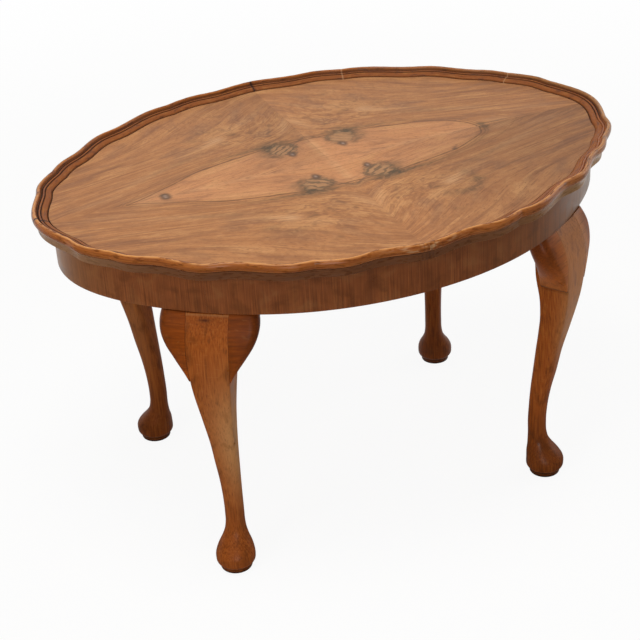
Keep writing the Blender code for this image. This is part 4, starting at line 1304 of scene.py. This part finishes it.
# Tone of the two ears of each leg, and how much pale colour each gets, both falling away from the post
# and the tone paler at the lower end: partly the wood's own tone, partly painted light, with painted
# shade on the back legs' ears and painted sheen on the front right ones.
EAR_TONES = ((0.7, 0.7), (0.75, 0.75), (0.75, 0.85), (1.1, 1.1))
EAR_SHEEN = ((0.0, 0.0), (0.0, 0.0), (0.0, 0.0), (0.4, 0.25))
EAR_TONE_BY_POST, EAR_TONE_FALL, EAR_SHEEN_FALL = 1.18, 0.4, 0.8
EAR_FOOT_TONE = (0.4, 0.0, 0.25)
# Dark lines, by strength, place and width: the glue line, and painted shade at the lower edge, above it
# on the front right ears, and at the top under the apron.
EAR_SEAM = (0.12, 0.0, 0.5 * MM)
EAR_CREASE_SHADE = (0.5, KNEE_TOP - EAR_HEIGHT, 2.5 * MM)
EAR_LOW_SHADE = (0.35, KNEE_TOP - EAR_HEIGHT + 6 * MM, 9 * MM)
EAR_TOP_SHADE = (0.4, KNEE_TOP, 0.6 * MM)


def apron_bend():
    """Radius of the apron's face where a leg stands, from the ellipse's two half axes."""
    t = math.radians(LEG_ANGLES[0])
    a, b = HALF_LENGTH - APRON_INSET, HALF_WIDTH - APRON_INSET
    return ((a * math.sin(t)) ** 2 + (b * math.cos(t)) ** 2) ** 1.5 / (a * b)


def ear_sections():
    """Level sections, each a bent face, a rounded front edge and a quarter ellipse to the back corner.

    Gives the points' place outward, sideways and up, the height share of each section and the inner side.
    """
    u = np.linspace(0, 1, EAR_LEVELS) ** EAR_CROWDING
    height = KNEE_TOP - EAR_HEIGHT * (1 - u)
    front, back, half, _ = smooth_through(leg_table, height).T
    inner = (half + EAR_GLUE_LINE)[:, None]
    swell = np.sin(0.5 * np.pi * u / EAR_CREST_SHARE) ** EAR_HOLLOW
    nose = np.sqrt(1 - (1 - np.clip(EAR_HEIGHT * u / EAR_NOSE, EAR_NOSE_LEAST, 1)) ** 2)
    reach = (EAR_TIP_WIDTH * nose + (EAR_REACH - EAR_TIP_WIDTH) * swell)[:, None]
    top_ease = EAR_TOP_EASE * np.clip((u - EAR_TOP_START) / (1 - EAR_TOP_START), 0, 1) ** 2
    front = (front - EAR_SET_BACK - top_ease)[:, None]
    back = (back + EAR_BACK_MARGIN)[:, None]
    rounding = np.minimum(EAR_ROUNDING, EAR_ROUNDING_SHARE * reach)
    face_y = inner + (reach - rounding) * np.linspace(0, 1, EAR_FACE_POINTS)
    face_x = front - (face_y ** 2 - inner ** 2) / (2 * apron_bend())
    turn = np.linspace(0, np.pi / 2, EAR_EDGE_POINTS + 1)[1:]
    edge_y = face_y[:, -1:] + rounding * np.sin(turn)
    edge_x = face_x[:, -1:] - rounding * (1 - np.cos(turn))
    sweep = np.linspace(0, np.pi / 2, EAR_SIDE_POINTS + 1)[1:]
    side_y = inner + reach * np.clip(np.cos(sweep), 0, 1) ** (2 / EAR_SIDE_POWER)
    side_x = edge_x[:, -1:] - (edge_x[:, -1:] - back) * np.sin(sweep) ** (2 / EAR_SIDE_POWER)
    x = np.concatenate([face_x, edge_x, side_x], 1)
    y = np.concatenate([face_y, edge_y, side_y], 1)
    return x, y, np.broadcast_to(height[:, None], x.shape), u[:, None], inner


def ear(quarter, hand, letter):
    """One ear: the level sections on the post's left or right hand, with its own tone, marks, painted shade
    and sheen.
    """
    x, y, z, u, inner = ear_sections()
    own = np.stack([x, hand * y, z], -1)
    # The glue line is a dark joint; the lines at the lower edge and the top, and the front right ears' wider
    # one, are painted shade.
    marks = soft_line(y - inner, *EAR_SEAM) + soft_line(z, *EAR_CREASE_SHADE) + soft_line(z, *EAR_TOP_SHADE)
    if QUARTERS[quarter] == "front_right":
        marks += soft_line(z, *EAR_LOW_SHADE)
    from_post = np.clip((y - inner) / EAR_REACH, 0, 1)
    tone, ear_sheen = (table[quarter]["ab".index(letter)] for table in (EAR_TONES, EAR_SHEEN))
    tone = tone * (1 + soft_line(u, *EAR_FOOT_TONE))
    riding = {
        "grain": own + EAR_PLANK_STEP * (quarter + 1) + EAR_HAND_STEP * hand,
        "mark": np.clip(marks, 0, 1),
        "wear_and_sheen": ear_sheen * (1 - EAR_SHEEN_FALL * from_post),
        "tone": tone * (EAR_TONE_BY_POST - EAR_TONE_FALL * from_post),
    }
    faces = tube_faces(*x.shape)
    name = QUARTERS[quarter] + "_" + letter
    points = leg_place(quarter, own)
    return make_piece(
        "carved_ear_" + name, points, faces, riding, ear_finish, "ear_" + name)


for quarter in range(4):
    for hand, letter in ((1, "a"), (-1, "b")):
        made_ear = ear(quarter, hand, letter)
        print(made_ear.name, "faces:", len(made_ear.data.polygons))

# %% [markdown]
# ## The inside
#
# Under the top are the pieces that hold the table together: the panel core, the bent apron cores, pine
# corner and glue blocks, beech dowels and steel screws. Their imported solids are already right, so they
# stay and only get a finish. These patterns read the place in space, because each piece is one plank.

# %% The inside
ROUGHNESS_SPREAD = 0.08


def plain_wood(name, stops, sizes, rough):
    """Unpolished softwood or beech: pale, dull, with straight streaks of the given sizes."""
    made, tree, shader = start_material(name, 0.25)
    place = add_node(tree, "TexCoord")["Object"]
    streak = streaks(tree, place, sizes, 3.0, 0.3)
    patch = streaks(tree, place, (60 * MM, 60 * MM, 60 * MM), 3.0)
    wood = add_node(tree, "ValToRGB", {0: streak}, stops)[0]
    colour = lay_over(tree, wood, [(patch, 0.45, 0.25, 0.35, "#7a5c3a")])
    spread = (rough - ROUGHNESS_SPREAD, rough + ROUGHNESS_SPREAD)
    polish(tree, shader, colour, patch, spread, streak, 0.15 * MM)
    return made


def zinc_steel():
    """Zinc-plated steel screws: grey, a little mottled, with a dull shine."""
    made, tree, shader = start_material("zinc_plated_steel", 0.5)
    shader.inputs["Metallic"].default_value = 1.0
    place = add_node(tree, "TexCoord")["Object"]
    spangle = streaks(tree, place, (1.5 * MM, 1.5 * MM, 1.5 * MM), 2.0)
    colour = add_node(tree, "ValToRGB", {0: spangle}, [(0.3, "#8f9296"), (0.7, "#b9bcc0")])[0]
    polish(tree, shader, colour, spangle, (0.3, 0.45), spangle, 0.03 * MM)
    return made


inside_finishes = {
    "top_core": plain_wood(
        "bare_panel_board", [(0.3, "#a37a4c"), (0.7, "#c9a06c")], (400 * MM, 3 * MM, 3 * MM), 0.7),
    "apron_": plain_wood(
        "bare_bent_board", [(0.3, "#94693d"), (0.7, "#b98d5a")], (60 * MM, 60 * MM, 2.5 * MM), 0.7),
    "block": plain_wood(
        "bare_pine", [(0.3, "#bb9259"), (0.7, "#d9b67c")], (4 * MM, 120 * MM, 4 * MM), 0.75),
    "dowel": plain_wood(
        "bare_beech", [(0.3, "#bd9468"), (0.7, "#d3ae83")], (1.5 * MM, 1.5 * MM, 30 * MM), 0.6),
    "screw": zinc_steel(),
}
dressed = 0
for node_name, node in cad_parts.items():
    for word, finish in inside_finishes.items():
        if word in node_name:
            node.data.materials.clear()
            node.data.materials.append(finish)
            dressed += 1
print("inside pieces dressed:", dressed)
